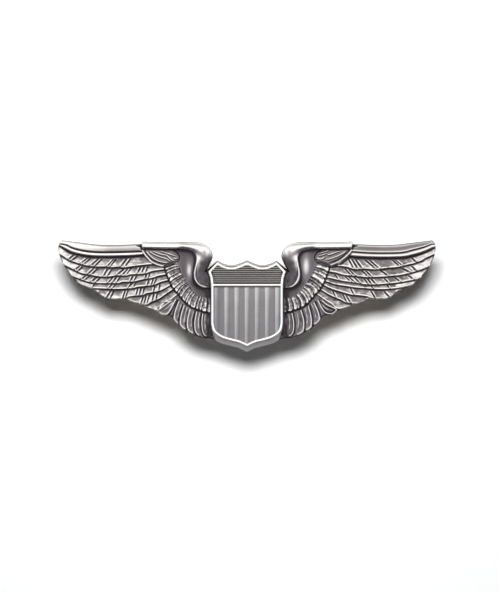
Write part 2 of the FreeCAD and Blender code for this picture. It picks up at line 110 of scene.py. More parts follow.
# Dark lines between the leading bar, the thin rib and the vanes under it, from the tip to the root.
LINES = {
    "left": [
        [(37.2, 10.4), (36.3, 10.2), (35.5, 9.75), (34.5, 9.4), (33.5, 9.15), (32, 8.9), (30, 8.75),
         (28, 8.75), (25, 8.8), (20.5, 8.95)],
        [(37.9, 10.1), (37.3, 9.7), (36.6, 9.2), (35.8, 8.75), (35, 8.45), (34, 8.2), (33, 8.0),
         (32, 7.85), (30.5, 7.75), (28, 7.7), (26, 7.75), (24, 7.8), (22, 7.95), (20.0, 8.25)],
        [(38.2, 8.5), (37.2, 7.9), (36, 7.1), (35.2, 6.8), (33.5, 6.25), (32.5, 6.0), (30.5, 5.75),
         (28.5, 5.75), (27.5, 5.6), (26, 5.7), (25, 5.55), (23.5, 5.75), (22, 5.95), (18.5, 6.3)],
        [(37.2, 6.3), (36.4, 5.85), (35, 5.15), (33.5, 4.45), (32.5, 4.25), (30.5, 3.85),
         (29.5, 3.7), (28, 3.7), (26.3, 3.95), (24.5, 3.9), (23.5, 4.15), (21.5, 4.25),
         (20.3, 4.4), (19, 4.85), (16.5, 5.2)],
        [(35.9, 4.15), (35.2, 3.8), (33.5, 3.15), (32.7, 2.85), (31, 2.5), (30, 2.4), (28, 2.4),
         (26, 2.4), (25, 2.65), (23, 2.7), (21, 3.15), (19, 3.5), (18, 3.85), (16.2, 4.2)],
        [(34.6, 2.6), (33.9, 2.3), (33, 1.95), (32, 1.6), (31.3, 1.4), (29, 1.3), (27, 1.2),
         (25, 1.25), (23, 1.4), (22, 1.65), (19, 2.0), (17.5, 2.6), (15.8, 3.05)],
        [(31.0, 0.8), (28.9, -0.4), (27.5, -0.8), (25, -0.8), (23.9, -0.35), (23, -0.2), (21, 0),
         (20.3, 0.35), (18.5, 0.65), (17.5, 0.9), (16.5, 1.4), (15.4, 2.05)],
        [(24.4, -0.9), (22.5, -1.7), (20.4, -1.95), (19.5, -1.5), (18.5, -1.1), (17.5, -0.6),
         (16.5, 0.1), (14.9, 1.2)],
        [(21.2, -2.2), (18.3, -3.2), (17.5, -2.5), (16.5, -1.7), (15.5, -1.1), (14.9, -0.6),
         (13.9, 0.2)],
    ],
    "right": [
        [(37.2, 10.45), (36, 9.95), (35, 9.65), (34, 9.4), (33, 9.15), (32, 8.85), (30, 8.65),
         (25, 8.65), (20.5, 8.95)],
        [(38.0, 9.8), (37.6, 9.5), (36, 8.75), (35, 8.35), (34, 8.05), (33, 7.8), (32, 7.6),
         (30.5, 7.5), (28, 7.45), (25, 7.5), (22, 7.65), (20.0, 7.9)],
        [(37.8, 8.3), (37.0, 7.9), (36, 7.45), (35.3, 7.0), (34.5, 6.7), (33.5, 6.35),
         (32.5, 6.15), (31, 5.75), (30, 5.6), (28, 5.45), (26, 5.15), (24, 5.3), (22, 5.2),
         (21, 5.4), (20, 5.7), (17.5, 6.0)],
        [(36.9, 5.9), (35.9, 5.45), (35, 5.1), (33, 4.5), (31, 4.05), (29, 3.85), (27.5, 3.7),
         (26, 3.65), (24, 3.6), (22, 3.85), (20, 4.0), (19, 4.2), (18, 4.5), (16.4, 4.8)],
        [(35.0, 3.5), (34.2, 3.2), (33, 2.95), (31, 2.6), (29.5, 2.4), (27, 2.2), (25, 2.1),
         (23.5, 2.2), (22.5, 2.4), (21, 2.6), (19, 2.9), (16.0, 3.6)],
        [(33.2, 2.0), (31, 1.5), (30, 1.35), (28, 1.2), (26, 1.2), (24, 1.35), (22, 1.5),
         (20, 1.8), (18, 2.1), (17, 2.4), (15.7, 2.85)],
        [(31.0, 0.8), (28.9, -0.4), (27.5, -0.8), (25, -0.6), (24.3, -0.3), (22.5, -0.05),
         (21.5, 0), (20.5, 0.2), (18.5, 0.8), (17.5, 1.1), (16.5, 1.5), (15.3, 2.1)],
        [(24.4, -0.9), (22.5, -1.7), (20, -1.5), (19, -1.0), (18, -0.6), (16.5, 0.1), (14.7, 1.2)],
        [(21.2, -2.2), (18.5, -2.8), (17, -1.8), (16, -1.2), (15, -0.5), (13.9, 0.3)],
    ],
}
# Cuts across each vane: how far across they start at the upper line and end at the lower one.
CUTS = {
    "left": [
        [(34.9, 36.1), (34.0, 35.6), (31.9, 33.8), (31.3, 33.2), (29.7, 31.8), (29.0, 30.9),
         (26.6, 28.4), (26.2, 27.8), (24.1, 25.7), (23.2, 24.8)],
        [(33.5, 34.9), (33.0, 34.3), (30.7, 32.3), (30.0, 31.6), (28.0, 29.1), (27.1, 28.3),
         (24.7, 26.5), (23.9, 25.5), (23.2, 24.6), (21.4, 22.3), (20.7, 21.4), (19.9, 20.6)],
        [(32.4, 33.7), (31.7, 33.0), (30.3, 31.7), (29.5, 30.8), (27.0, 28.3), (26.3, 27.4),
         (25.5, 26.5), (23.0, 23.7), (22.2, 22.9), (20.3, 20.7), (19.6, 20.0)],
        [(30.8, 31.3), (27.2, 28.2), (26.5, 27.4), (23.2, 24.2), (22.3, 23.2), (19.8, 20.2),
         (18.9, 19.4), (18.2, 18.9)],
        [(27.4, 28.5), (26.8, 27.7), (24.5, 25.2), (23.9, 24.6), (22.0, 22.5), (21.4, 21.8),
         (20.7, 21.1), (18.6, 18.9), (17.6, 17.8)],
        [(20.9, 21.5), (20.3, 20.9), (19.6, 20.3), (18.8, 19.2), (18.1, 18.4)],
        [],
    ],
    "right": [
        [(33.1, 34.3), (29.6, 31.6), (29.1, 31.1), (24.4, 26.9), (23.4, 26.3), (21.65, 23.4),
         (21.0, 22.5), (20.2, 21.6)],
        [(33.0, 34.3), (30.9, 33.2), (26.7, 28.7), (23.7, 25.4), (22.9, 24.7), (20.3, 22.2),
         (19.5, 21.3)],
        [(32.3, 33.8), (29.6, 31.2), (27.5, 28.8), (24.9, 26.2), (24.2, 25.3), (23.5, 24.6),
         (21.4, 23.1), (20.3, 22.1), (19.6, 21.2), (17.5, 18.7)],
        [(28.2, 28.9), (25.0, 25.6)],
        [(27.5, 28.9), (24.8, 26.0), (20.8, 21.7)],
        [(19.8, 21.1), (19.2, 20.2), (17.2, 18.0)],
        [],
    ],
}
# Raised lines of the small feathers at the wrist of the wing, the outer one first.
ALULA_RIBS = {
    "left": [
        [(21.3, 9.5), (21.0, 8.9), (20.6, 8.2), (20.0, 7.5), (19.3, 6.8), (18.4, 6.35),
         (17.5, 6.05), (16.6, 5.9)],
        [(20.6, 9.2), (20.1, 8.6), (19.3, 7.8), (18.4, 7.2), (17.3, 6.8), (15.8, 6.6)],
        [(19.8, 9.1), (19.2, 8.6), (18.3, 8.1), (17.2, 7.7), (16.2, 7.4), (15.3, 6.8)],
        [(19.3, 9.15), (18.3, 8.7), (17.2, 8.3), (16.2, 8.1), (15.3, 7.3), (14.2, 6.8)],
        [(17.6, 9.1), (16.6, 8.75), (15.4, 8.3), (14.8, 8.1), (14.0, 7.9)],
        [(14.9, 7.5), (14.0, 7.4)],
    ],
    "right": [
        [(21.3, 9.6), (21.1, 9.2), (20.7, 8.6), (20.0, 7.9), (19.0, 7.15), (18.0, 6.6),
         (16.6, 6.0)],
        [(20.1, 9.1), (19.3, 8.5), (18.3, 8.0), (17.0, 7.5), (15.7, 7.2)],
        [(18.9, 9.0), (17.8, 8.7), (16.8, 8.3), (16.1, 8.2)],
        [(15.7, 7.9), (15.2, 7.45), (14.5, 7.35), (13.9, 7.6)],
        [(16.1, 8.6), (15.2, 8.2), (14.2, 8.1)],
        [(16.6, 9.15), (15.4, 8.8), (14.6, 8.55)],
    ],
}
# Rims of the long secondary feathers, each from its root round the outer side to its tip.
SECONDARY_RIMS = {
    "left": [
        [(15.1, -0.9), (16.4, -1.8), (17.7, -2.8), (17.9, -3.25), (17.4, -3.6), (16.6, -3.75),
         (16.0, -3.55), (15.5, -2.9), (14.3, -0.6)],
        [(13.6, -0.9), (14.3, -2.6), (14.65, -4.0), (14.6, -4.8), (14.3, -5.3), (13.8, -5.7)],
        [(12.6, -1.7), (13.2, -3.6), (13.45, -5.0), (13.4, -5.8), (13.0, -6.4), (12.3, -6.9)],
        [(11.4, -2.5), (11.9, -4.4), (12.05, -5.8), (11.9, -6.6), (11.5, -7.2), (10.7, -7.65)],
        [(10.1, -3.0), (10.5, -5.0), (10.5, -6.5), (10.2, -7.5), (9.4, -8.1)],
        [(8.9, -3.4), (9.1, -5.4), (8.95, -7.0), (8.6, -7.9), (8.0, -8.2)],
    ],
    "right": [
        [(14.2, -0.7), (15.0, -2.3), (15.7, -3.3), (16.4, -3.6), (17.2, -3.6), (17.8, -3.2),
         (17.9, -2.7), (16.2, -1.9), (15.0, -0.9)],
        [(13.4, -1.2), (14.3, -3.2), (14.6, -4.6), (14.2, -5.4), (13.5, -5.9)],
        [(12.3, -1.8), (12.9, -4.2), (12.95, -5.9), (12.5, -6.6), (11.7, -7.0)],
        [(10.8, -2.7), (11.4, -5.0), (11.35, -6.8), (10.9, -7.4), (9.9, -7.9)],
        [(9.0, -3.3), (9.4, -5.5), (9.3, -7.2), (8.9, -7.9), (8.2, -8.2)],
    ],
}
SECONDARY_RIBS = {
    "left": [
        [(14.9, -1.3), (16.0, -2.4), (16.9, -3.1)],
        [(13.1, -1.4), (13.7, -3.2), (14.0, -4.8)],
        [(12.0, -2.2), (12.55, -4.0), (12.75, -5.8)],
        [(11.6, -2.2), (12.2, -4.3), (12.4, -5.6)],
        [(10.7, -2.9), (11.2, -4.8), (11.3, -6.6)],
        [(9.5, -3.3), (9.8, -5.2), (9.7, -7.0)],
        [(8.4, -3.6), (8.5, -5.4), (8.3, -7.2)],
    ],
    "right": [
        [(14.7, -1.3), (15.7, -2.4), (16.6, -3.0)],
        [(12.9, -1.5), (13.7, -3.4), (13.9, -4.8)],
        [(11.6, -2.3), (12.1, -4.3), (12.1, -6.0)],
        [(9.9, -3.1), (10.4, -5.0), (10.2, -6.9)],
        [(8.4, -3.6), (8.6, -5.6), (8.4, -7.2)],
    ],
}
# Tone down the face of a vane, from the line above it to the lip below: painted shade under the line above
# and a painted highlight towards the lip, over the blackening and rubbing.
VANE_LIGHT_AND_RUB = {
    "left": [0.0, 0.2, 0.45, 0.56, 0.8, 0.95],
    "right": [0.0, 0.28, 0.42, 0.46, 0.52, 0.7],
}
# The painted highlight in each hollow: across, up, and its reach each way.
HOLLOW_HIGHLIGHT = {"left": (11.7, 5.1, 0.6, 1.8), "right": (11.95, 5.9, 0.75, 2.4)}
SCAPULAR_COUNT = {"left": 17, "right": 15}

# The shoulder, neck and hollow of the arm, as heights given at chosen places.
ARM_HEIGHTS = [
    (15.0, 10.85, 1.75), (15.0, 10.55, 2.1), (15.0, 10.2, 2.3), (15.0, 9.85, 2.25), (15.0, 9.55, 2.0),
    (14.0, 10.85, 1.75), (14.0, 10.55, 2.15), (14.0, 10.2, 2.35), (14.0, 9.8, 2.3), (14.0, 9.5, 2.0),
    (13.0, 10.85, 1.75), (13.0, 10.5, 2.2), (13.0, 10.1, 2.42), (13.0, 9.7, 2.35), (13.0, 9.45, 2.0),
    (12.0, 10.85, 1.8), (12.0, 10.4, 2.3), (12.0, 10.0, 2.55), (12.0, 9.6, 2.45), (12.0, 9.25, 2.05),
    (11.0, 10.8, 2.0), (11.0, 10.3, 2.45), (11.0, 9.8, 2.68), (11.0, 9.2, 2.5), (11.1, 8.9, 2.15),
    (9.8, 10.75, 2.15), (9.7, 10.2, 2.55), (9.7, 9.5, 2.85), (10.1, 8.7, 2.55), (10.5, 8.2, 2.2),
    (8.3, 10.2, 2.3), (8.8, 9.6, 2.76), (8.45, 8.8, 2.72), (7.3, 9.2, 2.4), (7.0, 8.0, 2.3),
    (7.8, 9.0, 2.86), (9.4, 8.8, 2.86),
    (7.6, 8.3, 2.72), (8.0, 7.7, 2.74), (8.9, 7.7, 2.6), (9.6, 7.5, 2.55), (10.15, 7.3, 2.5),
    (7.3, 6.7, 2.0), (7.9, 6.8, 2.5), (8.6, 6.5, 2.4), (9.4, 6.3, 2.3), (10.2, 6.0, 2.5),
    (8.3, 5.2, 1.9), (9.1, 4.9, 1.9), (9.8, 4.8, 2.15), (10.4, 4.6, 2.5), (8.1, 3.6, 1.6),
    (8.9, 3.5, 1.6), (9.6, 3.4, 1.95), (10.15, 3.3, 2.35), (7.8, 2.4, 1.6), (8.6, 2.5, 1.75),
    (9.5, 2.4, 2.2), (7.8, 1.6, 1.95), (8.7, 1.8, 2.05),
]
# The arm's tone as painted highlights and painted shade together with its rubbing, given at the same kind of
# places.
ARM_LIGHT_AND_RUB = [
    (7.2, 9.6, 0.7), (7.3, 8.6, 0.7), (7.6, 9.4, 0.85), (8.1, 9.2, 0.97), (8.0, 8.5, 0.95),
    (7.5, 7.7, 0.6), (8.3, 10.2, 0.75), (9.0, 10.5, 0.75), (9.0, 10.0, 0.88), (10.0, 10.5, 0.75),
    (11.0, 10.5, 0.75), (12.0, 10.5, 0.75), (12.0, 9.95, 1.0), (12.2, 9.45, 0.6), (11.0, 9.9, 1.0),
    (11.4, 9.3, 0.75), (10.0, 9.9, 0.95), (10.3, 9.2, 1.05), (10.9, 8.9, 0.7), (9.5, 9.2, 0.95),
    (8.8, 9.4, 0.95), (8.5, 8.9, 0.7), (8.5, 8.4, 0.6), (8.5, 8.0, 0.6), (9.1, 8.2, 0.8), (9.6, 8.4, 0.95),
    (10.1, 8.3, 1.05), (10.5, 8.1, 0.7), (8.0, 7.6, 0.6), (8.7, 7.5, 0.55), (9.3, 7.5, 0.68),
    (10.0, 7.5, 0.98), (10.35, 7.2, 0.6), (7.6, 7.0, 0.4), (8.1, 7.0, 0.42), (8.7, 7.0, 0.48),
    (9.3, 6.9, 0.58), (9.95, 6.7, 0.85), (10.4, 6.4, 0.7), (7.7, 6.4, 0.3), (8.2, 6.3, 0.28),
    (8.8, 6.2, 0.34), (9.4, 6.1, 0.48), (10.0, 5.9, 0.72), (10.45, 5.6, 0.9), (8.3, 5.4, 0.25),
    (8.9, 5.3, 0.28), (9.5, 5.2, 0.42), (10.0, 5.0, 0.55), (10.5, 4.8, 1.0), (8.3, 4.5, 0.25),
    (8.9, 4.3, 0.3), (9.4, 4.2, 0.55), (9.95, 4.1, 0.6), (10.5, 4.0, 1.0), (8.1, 3.6, 0.25),
    (8.7, 3.4, 0.27), (9.3, 3.4, 0.5), (9.9, 3.3, 0.62), (10.4, 3.4, 0.9), (8.0, 2.7, 0.28),
    (8.6, 2.7, 0.28), (9.2, 2.6, 0.5), (9.9, 2.6, 0.95), (7.8, 2.0, 0.42), (8.6, 2.0, 0.55),
    (9.3, 2.1, 0.85), (7.8, 1.6, 0.5), (8.6, 1.6, 0.45),
]
NECK_RIDGE = {
    "left": [(10.15, 7.5), (10.15, 6.5), (10.4, 5.5), (10.5, 4.5), (10.4, 3.6), (10.0, 2.7),
             (9.3, 2.15), (8.5, 1.85), (7.6, 1.65)],
    "right": [(10.1, 8.0), (10.2, 7.0), (10.35, 6.0), (10.4, 5.0), (10.35, 4.0), (10.0, 3.0),
              (9.4, 2.2), (8.7, 1.8), (7.9, 1.55)],
}
HOLLOW_HEIGHTS = [
    (21.2, 9.7, 1.35), (17.0, 9.6, 1.3), (13.5, 9.5, 1.2), (11.8, 9.1, 1.15), (10.8, 8.4, 1.15),
    (10.6, 7.2, 1.15), (10.9, 5.5, 1.15), (11.0, 4.0, 1.15), (10.7, 2.5, 1.1), (9.5, 1.4, 1.1),
    (7.8, 1.1, 1.1), (13.6, 8.6, 1.25), (13.5, 7.4, 1.4), (12.3, 7.4, 1.2), (12.0, 5.6, 1.25),
    (13.5, 6.0, 1.62), (12.9, 4.6, 1.6), (11.9, 3.9, 1.3), (12.1, 3.0, 1.6), (11.2, 2.0, 1.5),
    (10.3, 0.8, 1.45), (9.2, 0.2, 1.4), (7.8, 0.0, 1.4), (9.0, 0.9, 1.15),
]


def smooth(points, step=0.12):
    """A smooth line through given points."""
    places = [np.array(p, float) for p in points]
    if len(places) == 2:
        count = max(2, int(np.hypot(*(places[1] - places[0])) / step) + 1)
        return np.linspace(places[0], places[1], count)
    ends = [2 * places[0] - places[1]] + places + [2 * places[-1] - places[-2]]
    found = []
    for a, b, c, d in zip(ends, ends[1:], ends[2:], ends[3:]):
        count = max(2, int(np.hypot(*(c - b)) / step))
        for t in np.arange(count) / count:
            found.append(0.5 * (2 * b + (c - a) * t + (2 * a - 5 * b + 4 * c - d) * t * t
                                + (3 * b - 3 * c + d - a) * t**3))
    return np.array(found + [places[-1]])


def joined(stretches, step=0.12):
    """One closed line from stretches that follow each other."""
    return np.vstack([smooth(points, step)[:-1] for points in stretches])


def eased(t):
    t = np.clip(t, 0, 1)
    return t * t * (3 - 2 * t)


def bell(distance, width):
    return np.exp(-((distance / width) ** 2))


def thin_plate(controls, across, up, give=0.02):
    """A springy sheet laid over given heights."""
    places = np.array([c[:2] for c in controls], float)
    heights = np.array([c[2] for c in controls], float)

    def lift(squared):
        return 0.5 * squared * np.log(np.maximum(squared, 1e-9))

    count = len(places)
    gaps = ((places[:, None] - places[None]) ** 2).sum(2)
    flat = np.hstack([np.ones((count, 1)), places])
    system = np.block([[lift(gaps) + give * np.eye(count), flat], [flat.T, np.zeros((3, 3))]])
    answer = np.linalg.solve(system, np.concatenate([heights, np.zeros(3)]))
    sheet = answer[count] + answer[count + 1] * across + answer[count + 2] * up
    for (x, z), pull in zip(places, answer[:count]):
        sheet = sheet + pull * lift((across - x) ** 2 + (up - z) ** 2)
    return sheet


class Relief:
    """The height map of one wing."""

    def __init__(self, side):
        self.side = side
        self.columns = np.concatenate([
            np.arange(0, HIDDEN_UP_TO, HIDDEN_CELL),
            np.arange(HIDDEN_UP_TO, 38.3, CELL_ACROSS),
        ])
        self.rows = np.arange(-11.2, 11.4, CELL_UP)
        self.x, self.z = np.meshgrid(self.columns, self.rows)
        self.height = np.full(self.x.shape, 1.2)
        self.tone = np.full(self.x.shape, 0.5)

    def window(self, low, high, reach):
        """The part of the map within reach of a box."""
        i, j = np.searchsorted(self.columns, (low[0] - reach, high[0] + reach))
        k, m = np.searchsorted(self.rows, (low[1] - reach, high[1] + reach))
        return slice(k, m), slice(i, j)

    def along(self, line, reach):
        """Distance from a line within reach, the share of the way along it, and its side."""
        distance = np.full(self.x.shape, 1e3)
        share = np.zeros(self.x.shape)
        side = np.zeros(self.x.shape)
        runs = np.hypot(*np.diff(line, axis=0).T)
        starts = np.concatenate([[0], np.cumsum(runs)])
        for a, b, run, start in zip(line, line[1:], runs, starts):
            if run < 1e-9:
                continue
            part = self.window(np.minimum(a, b), np.maximum(a, b), reach)
            x, z = self.x[part] - a[0], self.z[part] - a[1]
            dx, dz = (b - a) / run
            t = np.clip(x * dx + z * dz, 0, run)
            gap = np.hypot(x - t * dx, z - t * dz)
            closer = gap < distance[part]
            distance[part] = np.where(closer, gap, distance[part])
            share[part] = np.where(closer, (start + t) / starts[-1], share[part])
            side[part] = np.where(closer, np.sign(dx * z - dz * x), side[part])
        return distance, share, side

    def inside(self, line):
        found = np.zeros(self.x.shape, bool)
        for a, b in zip(line, np.roll(line, -1, axis=0)):
            low, high = sorted((a[0], b[0]))
            i, j = np.searchsorted(self.columns, (low, high))
            if i < j:
                level = a[1] + (b[1] - a[1]) * (self.columns[i:j] - a[0]) / (b[0] - a[0])
                found[:, i:j] ^= self.rows[:, None] < level[None]
        return found

    def blurred(self, values, up, across=None):
        """Values spread over a height and a width in millimetres."""
        for axis, cell, width in ((0, CELL_UP, up), (1, CELL_ACROSS, across or up)):
            reach = max(1, int(3 * width / cell))
            taps = np.exp(-0.5 * (np.arange(-reach, reach + 1) * cell / width) ** 2)
            taps /= taps.sum()
            padding = [(reach, reach) if axis == n else (0, 0) for n in (0, 1)]
            wide = np.pad(values, padding, mode="edge")
            total = np.zeros(values.shape)
            for tap, start in zip(taps, range(len(taps))):
                if axis == 0:
                    total += tap * wide[start:start + values.shape[0]]
                else:
                    total += tap * wide[:, start:start + values.shape[1]]
            values = total
        return values

    def mottle(self, seed, up, across):
        """Soft random patches, mostly between -1 and 1."""
        random = np.random.default_rng(seed).normal(size=self.x.shape)
        patches = self.blurred(random, up, across)
        return patches / (2 * patches.std())

    def put(self, where, height, tone):
        self.height = np.where(where, height, self.height)
        self.tone = np.where(where, tone, self.tone)

    def ridge(self, points, rise, width, tone=0.0, groove=0.0, groove_side=1, groove_gap=None,
              taper=0.15):
        """Raises a rounded line and rubs it, with a dark cut beside it if asked."""
        line = smooth(points)
        reach = width * 3 + 0.5
        distance, share, side = self.along(line, reach)
        ends = eased(share / taper) * eased((1 - share) / taper) if taper else 1.0
        ends = ends * (distance < reach)
        self.height = self.height + rise * bell(distance, width) * ends
        self.tone = self.tone + tone * bell(distance, width * 1.1) * ends
        if groove:
            gap = groove_gap or width * 1.6
            cut = bell(distance - gap, width * 0.75) * (side == groove_side) * ends
            self.height = self.height - groove * cut
            self.tone = self.tone - 0.35 * cut

    def lines_at(self, lines):
        """Each line's height at every column."""
        levels = []
        for points in lines:
            line = smooth(sorted(points))
            levels.append(np.interp(self.columns, line[:, 0], line[:, 1]))
        return levels


def shape_bar(relief):
    """The leading bar and the thin rib under it."""
    right = relief.side == "right"
    levels = relief.lines_at(LINES[relief.side])
    x, z = relief.x, relief.z
    top = np.interp(relief.columns, *smooth(OUTLINE[4]).T)[None]
    edge = levels[0][None]
    v = (top - z) / (top - edge)
    # The bar's tone is painted light over the rubbing: painted highlight bands and painted shade across it,
    # the right wing's bar painted greyer than the left's, and a painted highlight towards the left wing's
    # tip; the dark line at its lower edge is blackening.
    if right:
        bar = np.interp(v, [-0.1, 0, 0.1, 0.2, 0.6, 0.8, 0.88, 0.95, 1.0],
                        [1.3, 1.4, 1.72, 1.76, 1.7, 1.74, 1.84, 1.8, 1.45])
        tone = np.interp(v, [0, 0.12, 0.3, 0.7, 0.85, 0.95, 1.0],
                         [0.42, 0.66, 0.42, 0.44, 0.8, 0.6, 0.1])
    else:
        bar = np.interp(v, [-0.1, 0, 0.12, 0.3, 0.6, 0.85, 0.95, 1.0],
                        [1.3, 1.4, 1.72, 1.84, 1.9, 1.9, 1.75, 1.45])
        tone = np.interp(v, [0, 0.15, 0.4, 0.65, 0.9, 1.0], [0.5, 0.68, 0.62, 0.48, 0.4, 0.1])
        tone = tone + 0.25 * eased((x - 27) / 7) * eased((0.95 - v) / 0.1)
    relief.put((z > edge) & (x > 20), bar, tone)
    v = (edge - z) / (edge - levels[1][None])
    rib = np.interp(v, [0, 0.08, 0.2, 0.5, 0.68, 0.78, 1.0], [1.35, 1.5, 1.7, 1.74, 1.7, 1.5, 1.15])
    tone = np.interp(v, [0, 0.12, 0.3, 0.6, 0.72, 0.84, 1.0], [0.1, 0.5, 1.0, 1.0, 0.6, 0.0, 0.0])
    if right:
        tone = np.interp(v, [0, 0.12, 0.3, 0.55, 0.68, 0.84, 1.0],
                         [0.1, 0.45, 0.6, 0.95, 0.8, 0.0, 0.0])
    relief.put((z <= edge) & (z > levels[1][None]) & (x > 20), rib, tone)


def shape_vanes(relief):
    """The overlapping vanes under the rib, with their cuts."""
    right = relief.side == "right"
    levels = relief.lines_at(LINES[relief.side])
    x, z = relief.x, relief.z
    random = np.random.default_rng(3 if right else 2)
    patches = 0.16 * relief.mottle(11 if right else 12, 0.14, 0.22)
    patches = patches + 0.12 * relief.mottle(13 if right else 14, 0.07, 0.5)
    for number, cuts in enumerate(CUTS[relief.side]):
        upper, lower = levels[number + 1][None], levels[number + 2][None]
        deep = np.maximum(upper - lower, 0.2)
        v = (upper - z) / deep
        below = (upper - z) - deep + 0.55
        face = np.interp(v, [0, 0.06, 0.16, 0.5, 1], [1.12, 1.24, 1.34, 1.42, 1.46])
        face = face + 0.14 * eased(below / 0.22) * eased((0.55 - below) / 0.14)
        face = face - 0.22 * eased((below - 0.4) / 0.15)
        # Painted shade under the vane above, growing to a painted highlight at the rubbed lip, then painted
        # shade and blackening where the face drops to the next vane.
        tone = np.interp(v, [0, 0.08, 0.3, 0.6, 0.8, 1], VANE_LIGHT_AND_RUB[relief.side])
        lip = 1.0 + 1.2 * patches
        tone = np.where(below > 0, tone + (lip - tone) * eased(below / 0.16), tone)
        tone = np.where(below > 0.4, tone - 1.1 * eased((below - 0.38) / 0.12), tone)
        panel = np.zeros(x.shape)
        for start, end in sorted(cuts, reverse=True):
            at = start + (end - start) * v
            steep = abs(end - start) / 2.0
            across = (x - at) / math.hypot(1, steep)
            reach = eased((v - 0.1) / 0.14) * eased((0.98 - v) / 0.08)
            cut = bell(across, 0.13) * reach
            rise = bell(across - 0.27, 0.13) * reach
            face = face - 0.15 * cut + 0.1 * rise
            corner = np.exp(np.minimum(across, 0) / 0.7) * (across < 0) * eased((v - 0.25) / 0.5)
            tone = tone - 0.8 * cut + 0.6 * rise + 0.22 * corner
            if right:
                other = bell(across + 0.27, 0.1) * reach
                face = face + 0.04 * other
                tone = tone + 0.25 * other
            panel = np.where(across > 0, panel, panel + 1)
        tilt = random.uniform(-0.025, 0.025, len(cuts) + 1)
        shade = random.uniform(-0.07, 0.07, len(cuts) + 1)
        face = face + tilt[panel.astype(int)] * (1 - v)
        tone = tone + shade[panel.astype(int)] + patches * eased(v / 0.2)
        if cuts:
            tip = (panel < 0.5) & (x > 30)
            face = np.where(tip, face + 0.04 * eased(v / 0.3) * eased((1 - v) / 0.3), face)
            tone = np.where(tip, tone + 0.35 * eased(v / 0.25) * eased((0.95 - v) / 0.1), tone)
        relief.put((z <= upper) & (z > lower) & (x > 13.5), face, tone)


def shape_secondaries(relief):
    below = relief.lines_at(LINES[relief.side][-1:])[0][None]
    inside = (relief.z <= below) & (relief.x < 19.5)
    patches = 0.16 * relief.mottle(31, 0.3, 0.12)
    relief.put(inside, 1.3, 0.36 + patches)
    for points in SECONDARY_RIMS[relief.side]:
        relief.ridge(points, 0.26, 0.18, 0.75, groove=0.2, groove_side=1, taper=0.05)
    for points in SECONDARY_RIBS[relief.side]:
        relief.ridge(points, 0.12, 0.1, 0.3)


def shape_scapulars(relief):
    """A band of short overlapping feathers between two curves."""
    inner = smooth(SCAPULAR_INNER)
    outer = smooth(SCAPULAR_OUTER)
    inside = relief.inside(np.vstack([inner, outer[::-1]]))
    from_inner, share_inner, _ = relief.along(inner, 4.5)
    from_outer, share_outer, _ = relief.along(outer, 4.5)
    across = from_inner / np.maximum(from_inner + from_outer, 1e-6)
    along = share_inner * (1 - across) + share_outer * across
    count = SCAPULAR_COUNT[relief.side]
    bend = 0.55 * np.sin(across * math.pi * 0.9)
    place = along * count + bend * 0.5
    place = place + 0.22 * np.sin(1.9 * place + count) + 0.12 * np.sin(4.3 * along * count)
    part = place - np.floor(place)
    body = np.interp(part, [0, 0.1, 0.3, 0.6, 0.78, 0.9, 1.0],
                     [0, 0.08, 0.12, 0.18, 0.28, 0.16, 0])
    tone = np.interp(part, [0, 0.12, 0.35, 0.62, 0.78, 0.9, 1.0],
                     [0.0, 0.3, 0.42, 0.55, 1.0, 0.5, 0.0])
    tip = 1 - 0.14 * ((part - 0.6) / 0.5) ** 2
    fall = eased((tip - across) / 0.06)
    lip = bell(across - tip + 0.1, 0.05)
    root = 0.12 * eased(across / 0.15)
    height = 1.38 + root + (body + 0.08 * lip) * fall + 0.1 * across - 0.28 * (1 - fall)
    random = np.random.default_rng(20 + count)
    shade = random.uniform(-0.12, 0.12, count + 3)[np.clip(np.floor(place), 0, count + 2).astype(int)]
    patches = 0.3 * relief.mottle(21 + count, 0.1, 0.1)
    tone = (0.06 + tone * (0.7 + 0.3 * across) + shade + patches + 0.25 * lip) * fall
    relief.put(inside, height, tone)
    groove = bell(from_outer, 0.13) * (~inside)
    relief.height = relief.height - 0.22 * groove
    relief.tone = relief.tone - 0.5 * groove


def shape_hollow(relief):
    """The sunk ground between the arm and the scapulars."""
    line = joined([
        smooth(SCAPULAR_INNER)[::-1],
        [SCAPULAR_INNER[0], (14.4, 7.0), (14.6, 9.0), (15.2, 9.5), (21.4, 9.75)],
        [(21.4, 9.75), (21.4, 10.2), (7.4, 10.2), (7.4, -0.4)],
    ])
    inside = relief.inside(line)
    sheet = thin_plate(HOLLOW_HEIGHTS, relief.x, relief.z)
    x, z, wide, high = HOLLOW_HIGHLIGHT[relief.side]
    # A painted highlight on the hollow's blackened ground.
    highlight = bell(relief.x - x, wide) * bell(relief.z - z, high)
    near_arm = bell(relief.x - 10.9, 0.5) * eased((8.2 - relief.z) / 1.5)
    relief.put(inside, sheet, 0.21 + 0.12 * near_arm + 0.66 * highlight)


def shape_alula(relief):
    line = joined(ALULA)
    inside = relief.inside(line)
    distance, _, _ = relief.along(np.vstack([line, line[:1]]), 1.5)
    body = 1.42 + 0.3 * eased(distance / 0.8)
    relief.put(inside, body, 0.42)
    shade = bell(distance, 0.14) * (~inside)
    relief.height = relief.height - 0.25 * shade
    relief.tone = relief.tone - 0.5 * shade
    ribs = ALULA_RIBS[relief.side]
    relief.ridge(ribs[0], 0.34, 0.22, 0.7, groove=0.12, groove_side=-1, groove_gap=0.45, taper=0.08)
    for points in ribs[1:]:
        relief.ridge(points, 0.16, 0.12, 0.55, groove=0.12, groove_side=1)


